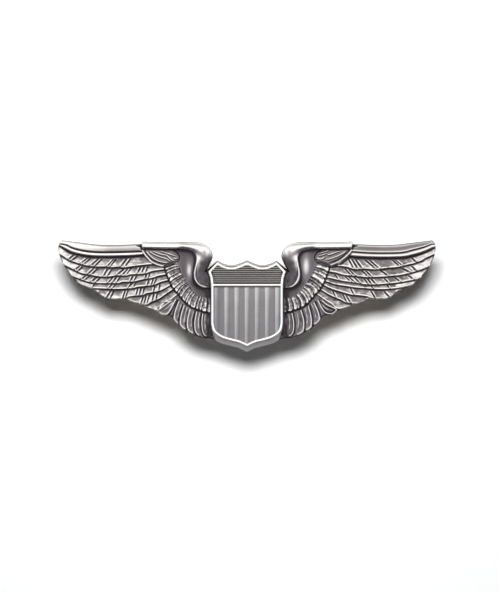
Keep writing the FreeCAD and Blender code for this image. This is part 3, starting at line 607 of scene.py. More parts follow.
def shape_arm(relief):
    """The smooth arm, its shoulder, and the neck that curls down beside the shield."""
    line = joined(ARM)
    inside = relief.inside(line)
    distance, _, _ = relief.along(np.vstack([line, line[:1]]), 1.0)
    sheet = thin_plate(ARM_HEIGHTS, relief.x, relief.z, 0.2)
    # Painted highlights and painted shade on the shoulder and neck, mixed with the rubbing.
    tone = thin_plate(ARM_LIGHT_AND_RUB, relief.x, relief.z, 0.05)
    past_shoulder = smooth(OUTLINE[2])[30:]
    underside = smooth(sorted(ARM[2][-5:]))
    top = np.interp(relief.columns, *past_shoulder.T)[None]
    foot = np.interp(relief.columns, *underside.T)[None]
    v = (top - relief.z) / (top - foot)
    band = np.interp(v, [-0.1, 0, 0.15, 0.4, 0.75, 0.9, 1], [1.7, 1.78, 2.05, 2.25, 2.25, 2.15, 1.95])
    share = eased((relief.x - 12.6) / 2.0)
    sheet = sheet * (1 - share) + band * share
    # Along the band: a painted highlight across its middle and painted shade towards its lower edge, over
    # the rubbing.
    band_light_and_rub = np.interp(v, [-0.1, 0, 0.12, 0.32, 0.6, 0.8, 1.0],
                           [0.6, 0.72, 0.78, 1.0, 1.0, 0.7, 0.42])
    tone = tone * (1 - share) + band_light_and_rub * share
    edge = np.sqrt(np.clip(1 - (1 - np.clip(distance / 0.28, 0, 1)) ** 2, 0, 1))
    body = 1.3 + (sheet - 1.3) * (0.55 + 0.45 * edge)
    relief.put(inside, body, np.clip(tone, 0.15, 1.1))
    shade = bell(distance, 0.3) * (~inside)
    relief.tone = relief.tone - 0.35 * shade
    relief.ridge(NECK_RIDGE[relief.side], 0.18, 0.24, 0.28, taper=0.12)


def round_the_edge(relief, distance):
    """Turns the plate's rim over to the side wall."""
    turn = np.sqrt(np.clip(1 - (1 - np.clip(distance / EDGE_ROUND, 0, 1)) ** 2, 0, 1))
    relief.height = PLATE_EDGE + (relief.height - PLATE_EDGE) * turn
    # A thin band along the outline is darkened: painted shade where the rim turns over to the side wall.
    relief.tone = relief.tone - 0.75 * bell(distance, 0.2)


def rubbed_and_lit(relief):
    """How bright each place is: 0 stays black in the cuts and 1 is bright on the crests, from the blackening
    and rubbing and from the painted highlights and shade carried in the tone.
    """
    height = relief.height
    fine = height - relief.blurred(height, 0.14)
    middle = height - relief.blurred(height, 0.4)
    broad = height - relief.blurred(height, 1.3)
    tone = relief.blurred(relief.tone, 0.04)
    return np.clip(tone + 1.8 * fine + 0.7 * middle + 0.15 * broad, 0, 1)


def edge_places(inside, signed):
    """The places on either side of the outline that are nearest to it."""
    snapped = np.zeros(inside.shape, bool)
    for down, right in ((0, 1), (1, 0)):
        a = (slice(None, -down or None), slice(None, -right or None))
        b = (slice(down, None), slice(right, None))
        crossing = inside[a] != inside[b]
        near_a = np.abs(signed[a]) <= np.abs(signed[b])
        snapped[a] |= crossing & near_a
        snapped[b] |= crossing & ~near_a
    return snapped


def grid_faces(kept):
    """Squares between kept places, and triangles where one corner is missing."""
    number = -np.ones(kept.shape, int)
    number[kept] = np.arange(kept.sum())
    corners = np.stack([number[:-1, :-1], number[:-1, 1:], number[1:, 1:], number[1:, :-1]])
    present = corners >= 0
    faces = [tuple(f) for f in corners[:, present.all(0)].T]
    for missing in range(4):
        three = (present.sum(0) == 3) & ~present[missing]
        rest = [n for n in range(4) if n != missing]
        faces += [tuple(f) for f in corners[rest][:, three].T]
    return faces


def add_back(mesh):
    """Gives the front sheet its side wall and its flat back."""
    shell = bmesh.new()
    shell.from_mesh(mesh)
    thin = [f for f in shell.faces if f.calc_area() < 1e-12]
    bmesh.ops.delete(shell, geom=thin, context="FACES")
    loose = [v for v in shell.verts if not v.link_faces]
    bmesh.ops.delete(shell, geom=loose, context="VERTS")
    layer = shell.verts.layers.float["polish_and_light"]
    for face in shell.faces:
        face.smooth = True
    rim = [e for e in shell.edges if e.is_boundary]
    grown = bmesh.ops.extrude_edge_only(shell, edges=rim)["geom"]
    for item in grown:
        if isinstance(item, bmesh.types.BMVert):
            item.co.y = 0
            item[layer] = BACK_POLISH
        if isinstance(item, bmesh.types.BMFace):
            item.smooth = True
    back = [e for e in shell.edges if e.is_boundary]
    closed = bmesh.ops.contextual_create(shell, geom=back)
    for face in closed["faces"]:
        face.smooth = False
    for edge in rim + back:
        if edge.is_valid:
            edge.smooth = False
    bmesh.ops.recalc_face_normals(shell, faces=shell.faces[:])
    shell.to_mesh(mesh)
    shell.free()


def wing_mesh(relief, outline):
    """Turns the height map into a closed mesh, trimmed to the outline."""
    inside = relief.inside(outline)
    loop = np.vstack([outline, outline[:1]])
    distance, _, _ = relief.along(loop, 0.9)
    round_the_edge(relief, np.where(inside, np.minimum(distance, 1.0), 0))
    relief.height = relief.blurred(relief.height, 0.045)
    polish_and_light = rubbed_and_lit(relief)

    # a place next to the outline moves onto it, so that the rim follows the outline
    snapped = edge_places(inside, np.where(inside, distance, -distance))
    kept = inside | snapped
    tree = KDTree(len(outline) * 8)
    dense = np.vstack([np.linspace(p, q, 8, endpoint=False) for p, q in zip(loop, loop[1:])])
    for index, (x, z) in enumerate(dense):
        tree.insert((x, z, 0), index)
    tree.balance()
    x, z, height = relief.x.copy(), relief.z.copy(), relief.height.copy()
    for row, column in np.argwhere(snapped):
        place, _, _ = tree.find((x[row, column], z[row, column], 0))
        x[row, column], z[row, column] = place[0], place[1]
        height[row, column] = PLATE_EDGE

    faces = grid_faces(kept)
    sign = 1
    if relief.side == "left":
        sign = -1
        faces = [f[::-1] for f in faces]
    front = np.stack([sign * x[kept], -height[kept], z[kept]], 1)
    mesh = bpy.data.meshes.new(f"{relief.side}_wing")
    mesh.from_pydata((front * MM).tolist(), [], faces)
    attribute = mesh.attributes.new("polish_and_light", "FLOAT", "POINT")
    attribute.data.foreach_set("value", polish_and_light[kept].astype(np.float32))
    add_back(mesh)
    return mesh


def make_wing(side):
    relief = Relief(side)
    shape_bar(relief)
    shape_vanes(relief)
    shape_secondaries(relief)
    shape_hollow(relief)
    shape_scapulars(relief)
    shape_alula(relief)
    shape_arm(relief)
    # Painted shadow of the shield on the wing next to it.
    relief.tone = relief.tone - 0.3 * bell(np.maximum(relief.x - SHIELD_SIDE, 0), 0.8)
    outline = joined(OUTLINE, 0.1)
    mesh = wing_mesh(relief, outline)
    wing = bpy.data.objects.new(f"{side}_wing", mesh)
    bpy.context.scene.collection.objects.link(wing)
    return wing


# ---------------------------------------------------------------- node helpers

def new_group(name, inputs, outputs):
    tree = bpy.data.node_groups.new(name, "ShaderNodeTree")
    for label, kind, value in inputs:
        socket = tree.interface.new_socket(name=label, in_out="INPUT", socket_type=kind)
        socket.default_value = value
    for label, kind in outputs:
        tree.interface.new_socket(name=label, in_out="OUTPUT", socket_type=kind)
    return tree, tree.nodes.new("NodeGroupInput"), tree.nodes.new("NodeGroupOutput")


def math_node(tree, operation, *values, clamp=False):
    node = tree.nodes.new("ShaderNodeMath")
    node.operation = operation
    node.use_clamp = clamp
    for socket, value in zip(node.inputs, values):
        if isinstance(value, (int, float)):
            socket.default_value = value
        else:
            tree.links.new(value, socket)
    return node.outputs[0]


# ---------------------------------------------------------------- the shield

SHIELD_FRONT = 3.6
PANEL_FLOOR = 3.25
RIM_SOFTENING = 0.13
FOOT = [
    [(0, 7.17), (1.85, 6.42), (3.25, 6.2), (4.7, 6.5), (6.0, 7.15)],
    [(6.0, 7.15), (8.4, 5.0)],
    [(8.4, 5.0), (7.95, 3.7), (7.7, 2.36)],
    [(7.7, 2.36), (7.66, 1.9)],
    [(7.66, 1.9), (7.66, -5.8)],
    [(7.66, -5.8), (7.2, -8.0), (5.6, -9.45), (3.4, -10.1), (1.7, -10.55), (0, -11.36)],
]
RIM = [
    [(0, 6.67), (1.85, 5.9), (3.25, 5.66), (4.7, 5.98), (5.96, 6.71)],
    [(5.96, 6.71), (7.75, 4.84)],
    [(7.75, 4.84), (7.35, 3.6), (7.18, 2.36)],
    [(7.18, 2.36), (7.16, 1.9)],
    [(7.16, 1.9), (7.16, -5.6)],
    [(7.16, -5.6), (6.75, -7.15), (5.2, -8.4), (3.2, -9.05), (1.6, -9.45), (0, -10.2)],
]
PANEL = [
    [(0, 6.1), (1.85, 5.38), (3.25, 5.17), (4.75, 5.48), (5.9, 6.08)],
    [(5.9, 6.08), (7.2, 4.74)],
    [(7.2, 4.74), (6.85, 3.6), (6.71, 2.36)],
    [(6.71, 2.36), (6.69, 1.9)],
    [(6.69, 1.9), (6.69, -5.5)],
    [(6.69, -5.5), (6.3, -6.9), (4.95, -7.95), (3.05, -8.55), (1.5, -8.95), (0, -9.65)],
]
RIM_METAL, CHIEF_METAL, FIELD_METAL, WALL_METAL, SIDE_METAL = range(5)
STRETCH_PIECES = [20, 3, 6, 1, 8, 24]
BAR_PIECES = 24
PALE_PITCH = 1.02
RIB_LEVELS = [2.75, 3.16, 3.57, 3.98, 4.39, 4.8, 5.21, 5.62, 6.0]


def sampled(points, pieces):
    """A stretch cut into an even number of pieces."""
    line = smooth(points, 0.02)
    run = np.concatenate([[0], np.cumsum(np.hypot(*np.diff(line, axis=0).T))])
    at = np.linspace(0, run[-1], pieces + 1)
    return np.stack([np.interp(at, run, line[:, 0]), np.interp(at, run, line[:, 1])], 1)


def half_loop(stretches):
    """Points from the top middle round one side to the foot, and where the crossbar ends."""
    parts = [sampled(s, n) for s, n in zip(stretches, STRETCH_PIECES)]
    return np.vstack([p[:-1] for p in parts] + [parts[-1][-1:]])


def full_loop(half):
    other = half[1:-1][::-1] * [-1, 1]
    return np.vstack([half, other])


def shield_mesh():
    shell = bmesh.new()

    def ring(half, height):
        return [shell.verts.new((x * MM, -height * MM, z * MM)) for x, z in full_loop(half)]

    def strip(one, other, metal):
        count = len(one)
        for i in range(count):
            k = (i + 1) % count
            shell.faces.new((one[i], one[k], other[k], other[i])).material_index = metal

    foot, rim, panel = (half_loop(s) for s in (FOOT, RIM, PANEL))
    under = ring(foot, 0.9)
    base = ring(foot, 1.25)
    edge = ring(rim, SHIELD_FRONT)
    inner = ring(panel, SHIELD_FRONT)
    shell.faces.new(under)
    strip(under, base, SIDE_METAL)
    strip(base, edge, SIDE_METAL)
    strip(edge, inner, RIM_METAL)

    # the crossbar joins the two sides between the chief and the striped field
    count = len(inner)
    high = sum(STRETCH_PIECES[:3])
    low = high + 1
    right_high, right_low = inner[high], inner[low]
    left_high, left_low = inner[count - high], inner[count - low]
    shares = np.linspace(0, 1, BAR_PIECES + 1)[1:-1]
    top, bottom = [right_high], [right_low]
    for share in shares:
        top.append(shell.verts.new(right_high.co.lerp(left_high.co, share)))
        bottom.append(shell.verts.new(right_low.co.lerp(left_low.co, share)))
    top.append(left_high)
    bottom.append(left_low)
    for i in range(BAR_PIECES):
        shell.faces.new((top[i], top[i + 1], bottom[i + 1], bottom[i]))

    def sink(loop, metal):
        """Walls down to a panel's floor, and the floor."""
        floor = [shell.verts.new((v.co.x, -PANEL_FLOOR * MM, v.co.z)) for v in loop]
        strip(loop, floor, WALL_METAL)
        shell.faces.new(floor).material_index = metal

    chief = inner[:high + 1] + top[1:-1] + inner[count - high:]
    field = inner[low:count - low + 1] + bottom[1:-1][::-1]
    sink(chief, CHIEF_METAL)
    sink(field, FIELD_METAL)
    bmesh.ops.recalc_face_normals(shell, faces=shell.faces[:])
    sharp = [e for e in shell.edges if e.calc_face_angle(0) > math.radians(35)]
    sharp = [e for e in sharp if max(v.co.y for v in e.verts) < -(PANEL_FLOOR + 0.1) * MM]
    bmesh.ops.bevel(shell, geom=sharp, offset=RIM_SOFTENING * MM, segments=3, affect="EDGES",
                    profile=0.5, clamp_overlap=True)
    for face in shell.faces:
        face.smooth = face.calc_area() < 2 * MM * MM
    mesh = bpy.data.meshes.new("shield_body")
    shell.to_mesh(mesh)
    shell.free()
    mesh.set_sharp_from_angle(angle=math.radians(32))
    return mesh


def bars_tree():
    """Raised bars on given points: each as long as its point says, with a rounded front."""
    tree = bpy.data.node_groups.new("raised_bars", "GeometryNodeTree")
    face = tree.interface
    face.new_socket(name="Geometry", in_out="INPUT", socket_type="NodeSocketGeometry")
    for name, value in (("Wide", 0.001), ("Deep", 0.001), ("Round", 0.0001)):
        socket = face.new_socket(name=name, in_out="INPUT", socket_type="NodeSocketFloat")
        socket.default_value = value
    face.new_socket(name="Metal", in_out="INPUT", socket_type="NodeSocketMaterial")
    face.new_socket(name="Geometry", in_out="OUTPUT", socket_type="NodeSocketGeometry")
    nodes, links = tree.nodes, tree.links
    given = nodes.new("NodeGroupInput").outputs

    def from_point(name):
        node = nodes.new("GeometryNodeInputNamedAttribute")
        node.data_type = "FLOAT"
        node.inputs["Name"].default_value = name
        return node.outputs["Attribute"]

    def combined(**parts):
        node = nodes.new("ShaderNodeCombineXYZ")
        for axis, value in parts.items():
            links.new(value, node.inputs[axis])
        return node.outputs[0]

    cube = nodes.new("GeometryNodeMeshCube")
    cube.inputs["Size"].default_value = (1, 1, 1)
    cube.inputs["Vertices X"].default_value = 9
    cube.inputs["Vertices Y"].default_value = 2
    cube.inputs["Vertices Z"].default_value = 2
    apart = nodes.new("ShaderNodeSeparateXYZ")
    links.new(nodes.new("GeometryNodeInputPosition").outputs[0], apart.inputs[0])
    x, y = apart.outputs["X"], apart.outputs["Y"]
    falls = math_node(tree, "MULTIPLY", math_node(tree, "MULTIPLY", x, x), 4.0)
    share = math_node(tree, "DIVIDE", math_node(tree, "MULTIPLY", falls, given["Round"]),
                      given["Deep"])
    shaped = nodes.new("GeometryNodeSetPosition")
    links.new(cube.outputs["Mesh"], shaped.inputs["Geometry"])
    links.new(math_node(tree, "LESS_THAN", y, 0.0), shaped.inputs["Selection"])
    links.new(combined(Y=share), shaped.inputs["Offset"])
    marked = nodes.new("GeometryNodeStoreNamedAttribute")
    marked.data_type = "FLOAT"
    marked.domain = "POINT"
    marked.inputs["Name"].default_value = "across"
    links.new(math_node(tree, "ADD", x, 0.5), marked.inputs["Value"])
    links.new(shaped.outputs[0], marked.inputs["Geometry"])
    put = nodes.new("GeometryNodeInstanceOnPoints")
    links.new(given["Geometry"], put.inputs["Points"])
    links.new(marked.outputs[0], put.inputs["Instance"])
    links.new(combined(Y=from_point("turn")), put.inputs["Rotation"])
    links.new(combined(X=given["Wide"], Y=given["Deep"], Z=from_point("long")),
              put.inputs["Scale"])
    real = nodes.new("GeometryNodeRealizeInstances")
    links.new(put.outputs[0], real.inputs[0])
    metal = nodes.new("GeometryNodeSetMaterial")
    links.new(real.outputs[0], metal.inputs["Geometry"])
    links.new(given["Metal"], metal.inputs["Material"])
    out = nodes.new("NodeGroupOutput")
    links.new(metal.outputs[0], out.inputs[0])
    return tree


def raised_bars(name, tree, places, lengths, turn, sizes, material):
    """A plain mesh of bars from the node tree."""
    mesh = bpy.data.meshes.new(name + "_points")
    mesh.from_pydata(places, [], [])
    for label, values in (("long", lengths), ("turn", [turn] * len(places))):
        attribute = mesh.attributes.new(label, "FLOAT", "POINT")
        attribute.data.foreach_set("value", values)
    holder = bpy.data.objects.new(name, mesh)
    bpy.context.scene.collection.objects.link(holder)
    modifier = holder.modifiers.new("bars", "NODES")
    modifier.node_group = tree
    for item in tree.interface.items_tree:
        if item.in_out == "INPUT" and item.name in sizes:
            modifier[item.identifier] = sizes[item.name]
        if item.in_out == "INPUT" and item.name == "Metal":
            modifier[item.identifier] = material
    view = bpy.context.evaluated_depsgraph_get()
    done = bpy.data.meshes.new_from_object(holder.evaluated_get(view))
    holder.modifiers.clear()
    holder.data = done
    done.materials.clear()
    done.materials.append(material)
    return holder


def field_foot(across):
    line = smooth(PANEL[5])[::-1]
    return float(np.interp(across, line[:, 0], line[:, 1]))


def make_shield(metals, rib_metal, pale_metal):
    body = bpy.data.objects.new("shield_body", shield_mesh())
    bpy.context.scene.collection.objects.link(body)
    for metal in metals:
        body.data.materials.append(metal)
    tree = bars_tree()
    top = 1.62
    places, lengths = [], []
    for number in range(-3, 4):
        across = number * 2 * PALE_PITCH
        near = field_foot(max(0, abs(across) - 0.5 * PALE_PITCH)) - 0.05
        far = field_foot(min(6.6, abs(across) + 0.5 * PALE_PITCH)) - 1.4
        foot = max(near, far)
        places.append((across * MM, -(PANEL_FLOOR + 0.02) * MM, (top + foot) / 2 * MM))
        lengths.append((top - foot) * MM)
    pales = raised_bars("shield_pales", tree, places, lengths, 0.0,
                        {"Wide": 0.98 * MM, "Deep": 0.3 * MM, "Round": 0.08 * MM}, pale_metal)
    places, lengths = [], []
    for level in RIB_LEVELS:
        half = min(6.85, np.interp(level, [2.36, 4.7, 6.1], [6.85, 7.2, 6.1]))
        places.append((0, -(PANEL_FLOOR + 0.03) * MM, level * MM))
        lengths.append(2 * half * MM)
    ribs = raised_bars("shield_chief_ribs", tree, places, lengths, math.pi / 2,
                       {"Wide": 0.17 * MM, "Deep": 0.36 * MM, "Round": 0.08 * MM}, rib_metal)
    return body, pales, ribs


# ---------------------------------------------------------------- the clutch springs

POST_ACROSS = 20.5
POST_UP = 4.6
WIRE_RADIUS = 0.225
WIRE_SIDES = 20
LEG_OUT = 0.62
LEG_DEPTH = 3.6
BEND_MIDDLE = 2.38
LEG_END = -1.9
FLARE_RADIUS = 1.6
FLARE_TURN = 32.0
FINGER_FROM = 0.45


def post_across(side):
    return -POST_ACROSS if side == "left" else POST_ACROSS


def leg_path():
    """Half the hairpin from the middle of its bend to its flared end, as (across, up, heading)."""
    path = []
    for turn in np.radians(np.linspace(0, 90, 19)):
        path.append((BEND_MIDDLE + LEG_OUT * np.cos(turn), LEG_OUT * np.sin(turn), turn))
    for across in np.linspace(BEND_MIDDLE, LEG_END, 9)[1:]:
        path.append((across, LEG_OUT, np.pi / 2))
    for turn in np.radians(np.linspace(0, FLARE_TURN, 9)[1:]):
        path.append((LEG_END - FLARE_RADIUS * np.sin(turn),
                     LEG_OUT + FLARE_RADIUS * (1 - np.cos(turn)), np.pi / 2 - turn))
    return path


def make_spring_leg(side, which):
    """One leg of a spring. It bends in the hairpin, so that its finger wing can push it aside."""
    sign = 1 if which == "upper" else -1
    middle = post_across(side)
    shell = bmesh.new()
    rings = []
    for across, up, heading in leg_path():
        ring = []
        for angle in np.linspace(0, 2 * np.pi, WIRE_SIDES, endpoint=False):
            out = WIRE_RADIUS * np.cos(angle)
            deep = LEG_DEPTH + WIRE_RADIUS * np.sin(angle)
            place = (middle + across + out * np.cos(heading), deep,
                     POST_UP + sign * (up + out * np.sin(heading)))
            ring.append(shell.verts.new([p * MM for p in place]))
        rings.append(ring)
    for near, far in zip(rings, rings[1:]):
        for i in range(WIRE_SIDES):
            j = (i + 1) % WIRE_SIDES
            face = shell.faces.new((near[i], near[j], far[j], far[i]))
            face.smooth = True
    for ring in (rings[0], rings[-1]):
        shell.faces.new(ring)
    bmesh.ops.recalc_face_normals(shell, faces=shell.faces[:])
    mesh = bpy.data.meshes.new(f"{side}_spring_{which}_leg")
    shell.to_mesh(mesh)
    shell.free()
    mesh.set_sharp_from_angle(angle=math.radians(60))
    leg = bpy.data.objects.new(mesh.name, mesh)
    bpy.context.scene.collection.objects.link(leg)
    return leg


def spread_with_finger(leg, side, which):
    """The leg stays with the cover at its bend and moves with the finger wing beside its hook."""
    sign = 1 if which == "upper" else -1
    middle = post_across(side)
    bend = (middle * MM, LEG_DEPTH * MM, POST_UP * MM)
    beside = (middle * MM, LEG_DEPTH * MM, (POST_UP + sign * FINGER_FROM) * MM)
    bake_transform(leg, f"{side}_cover", f"{side}_{which}_finger", bend, beside)


# ---------------------------------------------------------------- finishes

def noise_node(tree, place, scale, detail, roughness=0.5):
    node = tree.nodes.new("ShaderNodeTexNoise")
    tree.links.new(place, node.inputs["Vector"])
    node.inputs["Detail"].default_value = detail
    node.inputs["Roughness"].default_value = roughness
    if isinstance(scale, (int, float)):
        node.inputs["Scale"].default_value = scale
    else:
        tree.links.new(scale, node.inputs["Scale"])
    return node.outputs["Fac"]


def mapped(tree, place, change, value):
    node = tree.nodes.new("ShaderNodeMapping")
    node.inputs[change].default_value = value
    tree.links.new(place, node.inputs["Vector"])
    return node.outputs[0]


def worn_group():
    """Blotches and grain as masks, and grain with fine handling scratches as a height."""
    tree, given, out = new_group(
        "worn_metal",
        [("Blotch Scale", "NodeSocketFloat", 300.0), ("Grain Scale", "NodeSocketFloat", 9000.0),
         ("Scratch Scale", "NodeSocketFloat", 500.0), ("Scratch Width", "NodeSocketFloat", 0.04)],
        [("Blotch", "NodeSocketFloat"), ("Grain", "NodeSocketFloat"), ("Height", "NodeSocketFloat")],
    )
    place = tree.nodes.new("ShaderNodeTexCoord").outputs["Object"]
    blotch = noise_node(tree, place, given.outputs["Blotch Scale"], 3.0)
    grain = noise_node(tree, place, given.outputs["Grain Scale"], 2.0, 0.6)
    scratches = None
    for turn, stretch in ((0.5, (0.14, 1, 1)), (-0.7, (0.12, 1, 1)), (1.3, (0.2, 1, 1))):
        turned = mapped(tree, place, "Rotation", (0, turn, 0))
        narrow = mapped(tree, turned, "Scale", stretch)
        field = noise_node(tree, narrow, given.outputs["Scratch Scale"], 1.0)
        off = math_node(tree, "SUBTRACT", field, 0.5)
        off = math_node(tree, "ABSOLUTE", off)
        share = math_node(tree, "DIVIDE", off, given.outputs["Scratch Width"], clamp=True)
        line = math_node(tree, "SUBTRACT", 1.0, share, clamp=True)
        scratches = line if scratches is None else math_node(tree, "MAXIMUM", scratches, line)
    height = math_node(tree, "MULTIPLY", grain, 0.5)
    dents = math_node(tree, "MULTIPLY", scratches, -0.35)
    height = math_node(tree, "ADD", height, dents)
    tree.links.new(blotch, out.inputs["Blotch"])
    tree.links.new(grain, out.inputs["Grain"])
    tree.links.new(height, out.inputs["Height"])
    return tree


def patina_group():
    """Colour, roughness and metal share of a blackened finish worn back by rubbing, from a level that also
    carries painted highlights and shade.
    """
    tree, given, out = new_group(
        "rubbed_patina",
        [("Polish And Light", "NodeSocketFloat", 0.5), ("Blotch", "NodeSocketFloat", 0.5),
         ("Grain", "NodeSocketFloat", 0.5), ("Bright", "NodeSocketColor", (0.9, 0.88, 0.85, 1)),
         ("Middle", "NodeSocketColor", (0.35, 0.33, 0.34, 1)),
         ("Dark", "NodeSocketColor", (0.02, 0.015, 0.02, 1)),
         ("Blotch Strength", "NodeSocketFloat", 0.2),
         ("Grain Strength", "NodeSocketFloat", 0.1),
         ("Rough Bright", "NodeSocketFloat", 0.2), ("Rough Dark", "NodeSocketFloat", 0.55)],
        [("Color", "NodeSocketColor"), ("Roughness", "NodeSocketFloat"),
         ("Metallic", "NodeSocketFloat")],
    )
    parts = given.outputs
    spread = math_node(tree, "MULTIPLY", math_node(tree, "SUBTRACT", parts["Blotch"], 0.5),
                       parts["Blotch Strength"])
    speckle = math_node(tree, "MULTIPLY", math_node(tree, "SUBTRACT", parts["Grain"], 0.5),
                        parts["Grain Strength"])
    rub_and_light = math_node(tree, "ADD", parts["Polish And Light"], spread)
    rub_and_light = math_node(tree, "ADD", rub_and_light, speckle, clamp=True)
    low = math_node(tree, "MULTIPLY", rub_and_light, 2.0, clamp=True)
    high = math_node(tree, "SUBTRACT", math_node(tree, "MULTIPLY", rub_and_light, 2.0), 1.0, clamp=True)

    def mix(share, first, second):
        node = tree.nodes.new("ShaderNodeMix")
        node.data_type = "RGBA"
        tree.links.new(share, node.inputs["Factor"])
        tree.links.new(first, node.inputs[6])
        tree.links.new(second, node.inputs[7])
        return node.outputs[2]

    colour = mix(high, mix(low, parts["Dark"], parts["Middle"]), parts["Bright"])
    gap = math_node(tree, "SUBTRACT", parts["Rough Bright"], parts["Rough Dark"])
    rough = math_node(tree, "ADD", parts["Rough Dark"], math_node(tree, "MULTIPLY", gap, rub_and_light))
    metal = math_node(tree, "ADD", math_node(tree, "MULTIPLY", low, 0.5), 0.5)
    tree.links.new(colour, out.inputs["Color"])
    tree.links.new(rough, out.inputs["Roughness"])
    tree.links.new(metal, out.inputs["Metallic"])
    return tree


def read_place(tree, source):
    """A coordinate across or up in millimetres, or an attribute of the piece."""
    if source in ("X", "Z"):
        place = tree.nodes.new("ShaderNodeTexCoord")
        apart = tree.nodes.new("ShaderNodeSeparateXYZ")
        tree.links.new(place.outputs["Object"], apart.inputs[0])
        return math_node(tree, "MULTIPLY", apart.outputs[source], 1000.0)
    node = tree.nodes.new("ShaderNodeAttribute")
    node.attribute_name = source
    return node.outputs["Fac"]


def finish(name, groups, values, polish_and_light=0.75, changes=(), bump=0.00001):
    """A worn metal finish: a level to start from, and what each place adds to it; these carry wear and
    rubbing and, on the wings and the shield's panels, painted highlights and shade.
    """
    material = bpy.data.materials.new(name)
    material.use_nodes = True
    tree = material.node_tree
    shader = tree.nodes["Principled BSDF"]
    worn = tree.nodes.new("ShaderNodeGroup")
    worn.node_tree = groups["worn"]
    patina = tree.nodes.new("ShaderNodeGroup")
    patina.node_tree = groups["patina"]
    for node in (worn, patina):
        for label, value in values.items():
            if label in node.inputs:
                node.inputs[label].default_value = value
    patina.inputs["Polish And Light"].default_value = polish_and_light
    total = None
    for source, start, end, low, high in changes:
        added = tree.nodes.new("ShaderNodeMapRange")
        added.inputs["From Min"].default_value = start
        added.inputs["From Max"].default_value = end
        added.inputs["To Min"].default_value = low
        added.inputs["To Max"].default_value = high
        tree.links.new(read_place(tree, source), added.inputs["Value"])
        so_far = polish_and_light if total is None else total
        total = math_node(tree, "ADD", added.outputs[0], so_far)
    if total is not None:
        tree.links.new(total, patina.inputs["Polish And Light"])
    tree.links.new(worn.outputs["Blotch"], patina.inputs["Blotch"])
    tree.links.new(worn.outputs["Grain"], patina.inputs["Grain"])
    tree.links.new(patina.outputs["Color"], shader.inputs["Base Color"])
    tree.links.new(patina.outputs["Roughness"], shader.inputs["Roughness"])
    tree.links.new(patina.outputs["Metallic"], shader.inputs["Metallic"])
    raised = tree.nodes.new("ShaderNodeBump")
    raised.inputs["Distance"].default_value = bump
    raised.inputs["Strength"].default_value = 1.0
    tree.links.new(worn.outputs["Height"], raised.inputs["Height"])
    tree.links.new(raised.outputs[0], shader.inputs["Normal"])
    return material


# ---------------------------------------------------------------- stage, light and camera

CAMERA_BACK = 0.3378
CAMERA_ACROSS = 0.0004
CAMERA_UP = -0.00087
WALL_BEHIND = 0.022
WALL_TOP = 0.5
FLOOR_UNDER = -0.064
FLOOR_GLOW = 0.4
STAGE_HALF = 0.6
KEY_PLACE = (-0.004, -0.3, 0.05)
KEY_WIDE = 0.06
KEY_HIGH = 0.04
KEY_POWER = 1.3
BACK_PLACE = (0.15, 0.5, 0.3)
BACK_SIZE = 0.3
BACK_POWER = 1.2
SOFT_COLOUR = (0.78, 0.88, 1, 1)
SOFT_STRENGTH = 0.05
SHINE_STRENGTH = 1.5

# What the metal mirrors, from straight down to straight up, and from the left to the right.
UPRIGHT_GLOW = [
    (0.0, (0.05, 0.045, 0.05)), (0.15, (0.08, 0.07, 0.075)), (0.27, (0.24, 0.22, 0.23)),
    (0.38, (0.65, 0.63, 0.63)), (0.47, (0.95, 0.94, 0.93)), (0.62, (1.0, 0.99, 0.97)),
    (0.75, (0.96, 0.94, 0.9)), (0.86, (0.84, 0.82, 0.76)), (0.94, (0.5, 0.49, 0.46)),
    (1.0, (0.32, 0.31, 0.3)),
]
SIDEWAYS_GLOW = [
    (0.0, (0.4, 0.43, 0.47)), (0.2, (0.76, 0.8, 0.84)), (0.35, (0.95, 0.96, 0.98)),
    (0.5, (1.0, 1.0, 1.0)), (0.65, (0.93, 0.93, 0.95)), (0.8, (0.76, 0.77, 0.82)),
    (1.0, (0.4, 0.41, 0.45)),
]


def plain_sheet(name, corners, colour, one_sided, glow):
    """A flat sheet of the stage. A one-sided sheet is clear from behind."""
    mesh = bpy.data.meshes.new(name)
    mesh.from_pydata(corners, [], [(0, 1, 2, 3)])
    sheet = bpy.data.objects.new(name, mesh)
    bpy.context.scene.collection.objects.link(sheet)
    material = bpy.data.materials.new(name)
    material.use_nodes = True
    tree = material.node_tree
    shader = tree.nodes["Principled BSDF"]
    shader.inputs["Base Color"].default_value = colour
    shader.inputs["Roughness"].default_value = 0.9
    shader.inputs["Specular IOR Level"].default_value = 0.1
    shader.inputs["Emission Color"].default_value = (1, 1, 1, 1)
    shader.inputs["Emission Strength"].default_value = glow
    if one_sided:
        clear = tree.nodes.new("ShaderNodeBsdfTransparent")
        choose = tree.nodes.new("ShaderNodeMixShader")
        side = tree.nodes.new("ShaderNodeNewGeometry")
        tree.links.new(side.outputs["Backfacing"], choose.inputs[0])
        tree.links.new(shader.outputs[0], choose.inputs[1])
        tree.links.new(clear.outputs[0], choose.inputs[2])
        tree.links.new(choose.outputs[0], tree.nodes["Material Output"].inputs[0])
    mesh.materials.append(material)
    sheet.visible_glossy = one_sided
    sheet.visible_diffuse = one_sided
    return sheet


def area_light(name, place, wide, high, power, glossy):
    """A soft panel that shines at the middle of the badge."""
    data = bpy.data.lights.new(name, "AREA")
    data.shape = "RECTANGLE"
    data.size = wide
    data.size_y = high
    data.energy = power
    lamp = bpy.data.objects.new(name, data)
    bpy.context.scene.collection.objects.link(lamp)
    lamp.location = place
    lamp.rotation_mode = "QUATERNION"
    lamp.rotation_quaternion = (-Vector(place)).to_track_quat("-Z", "Y")
    lamp.visible_camera = False
    lamp.visible_glossy = glossy
    return lamp


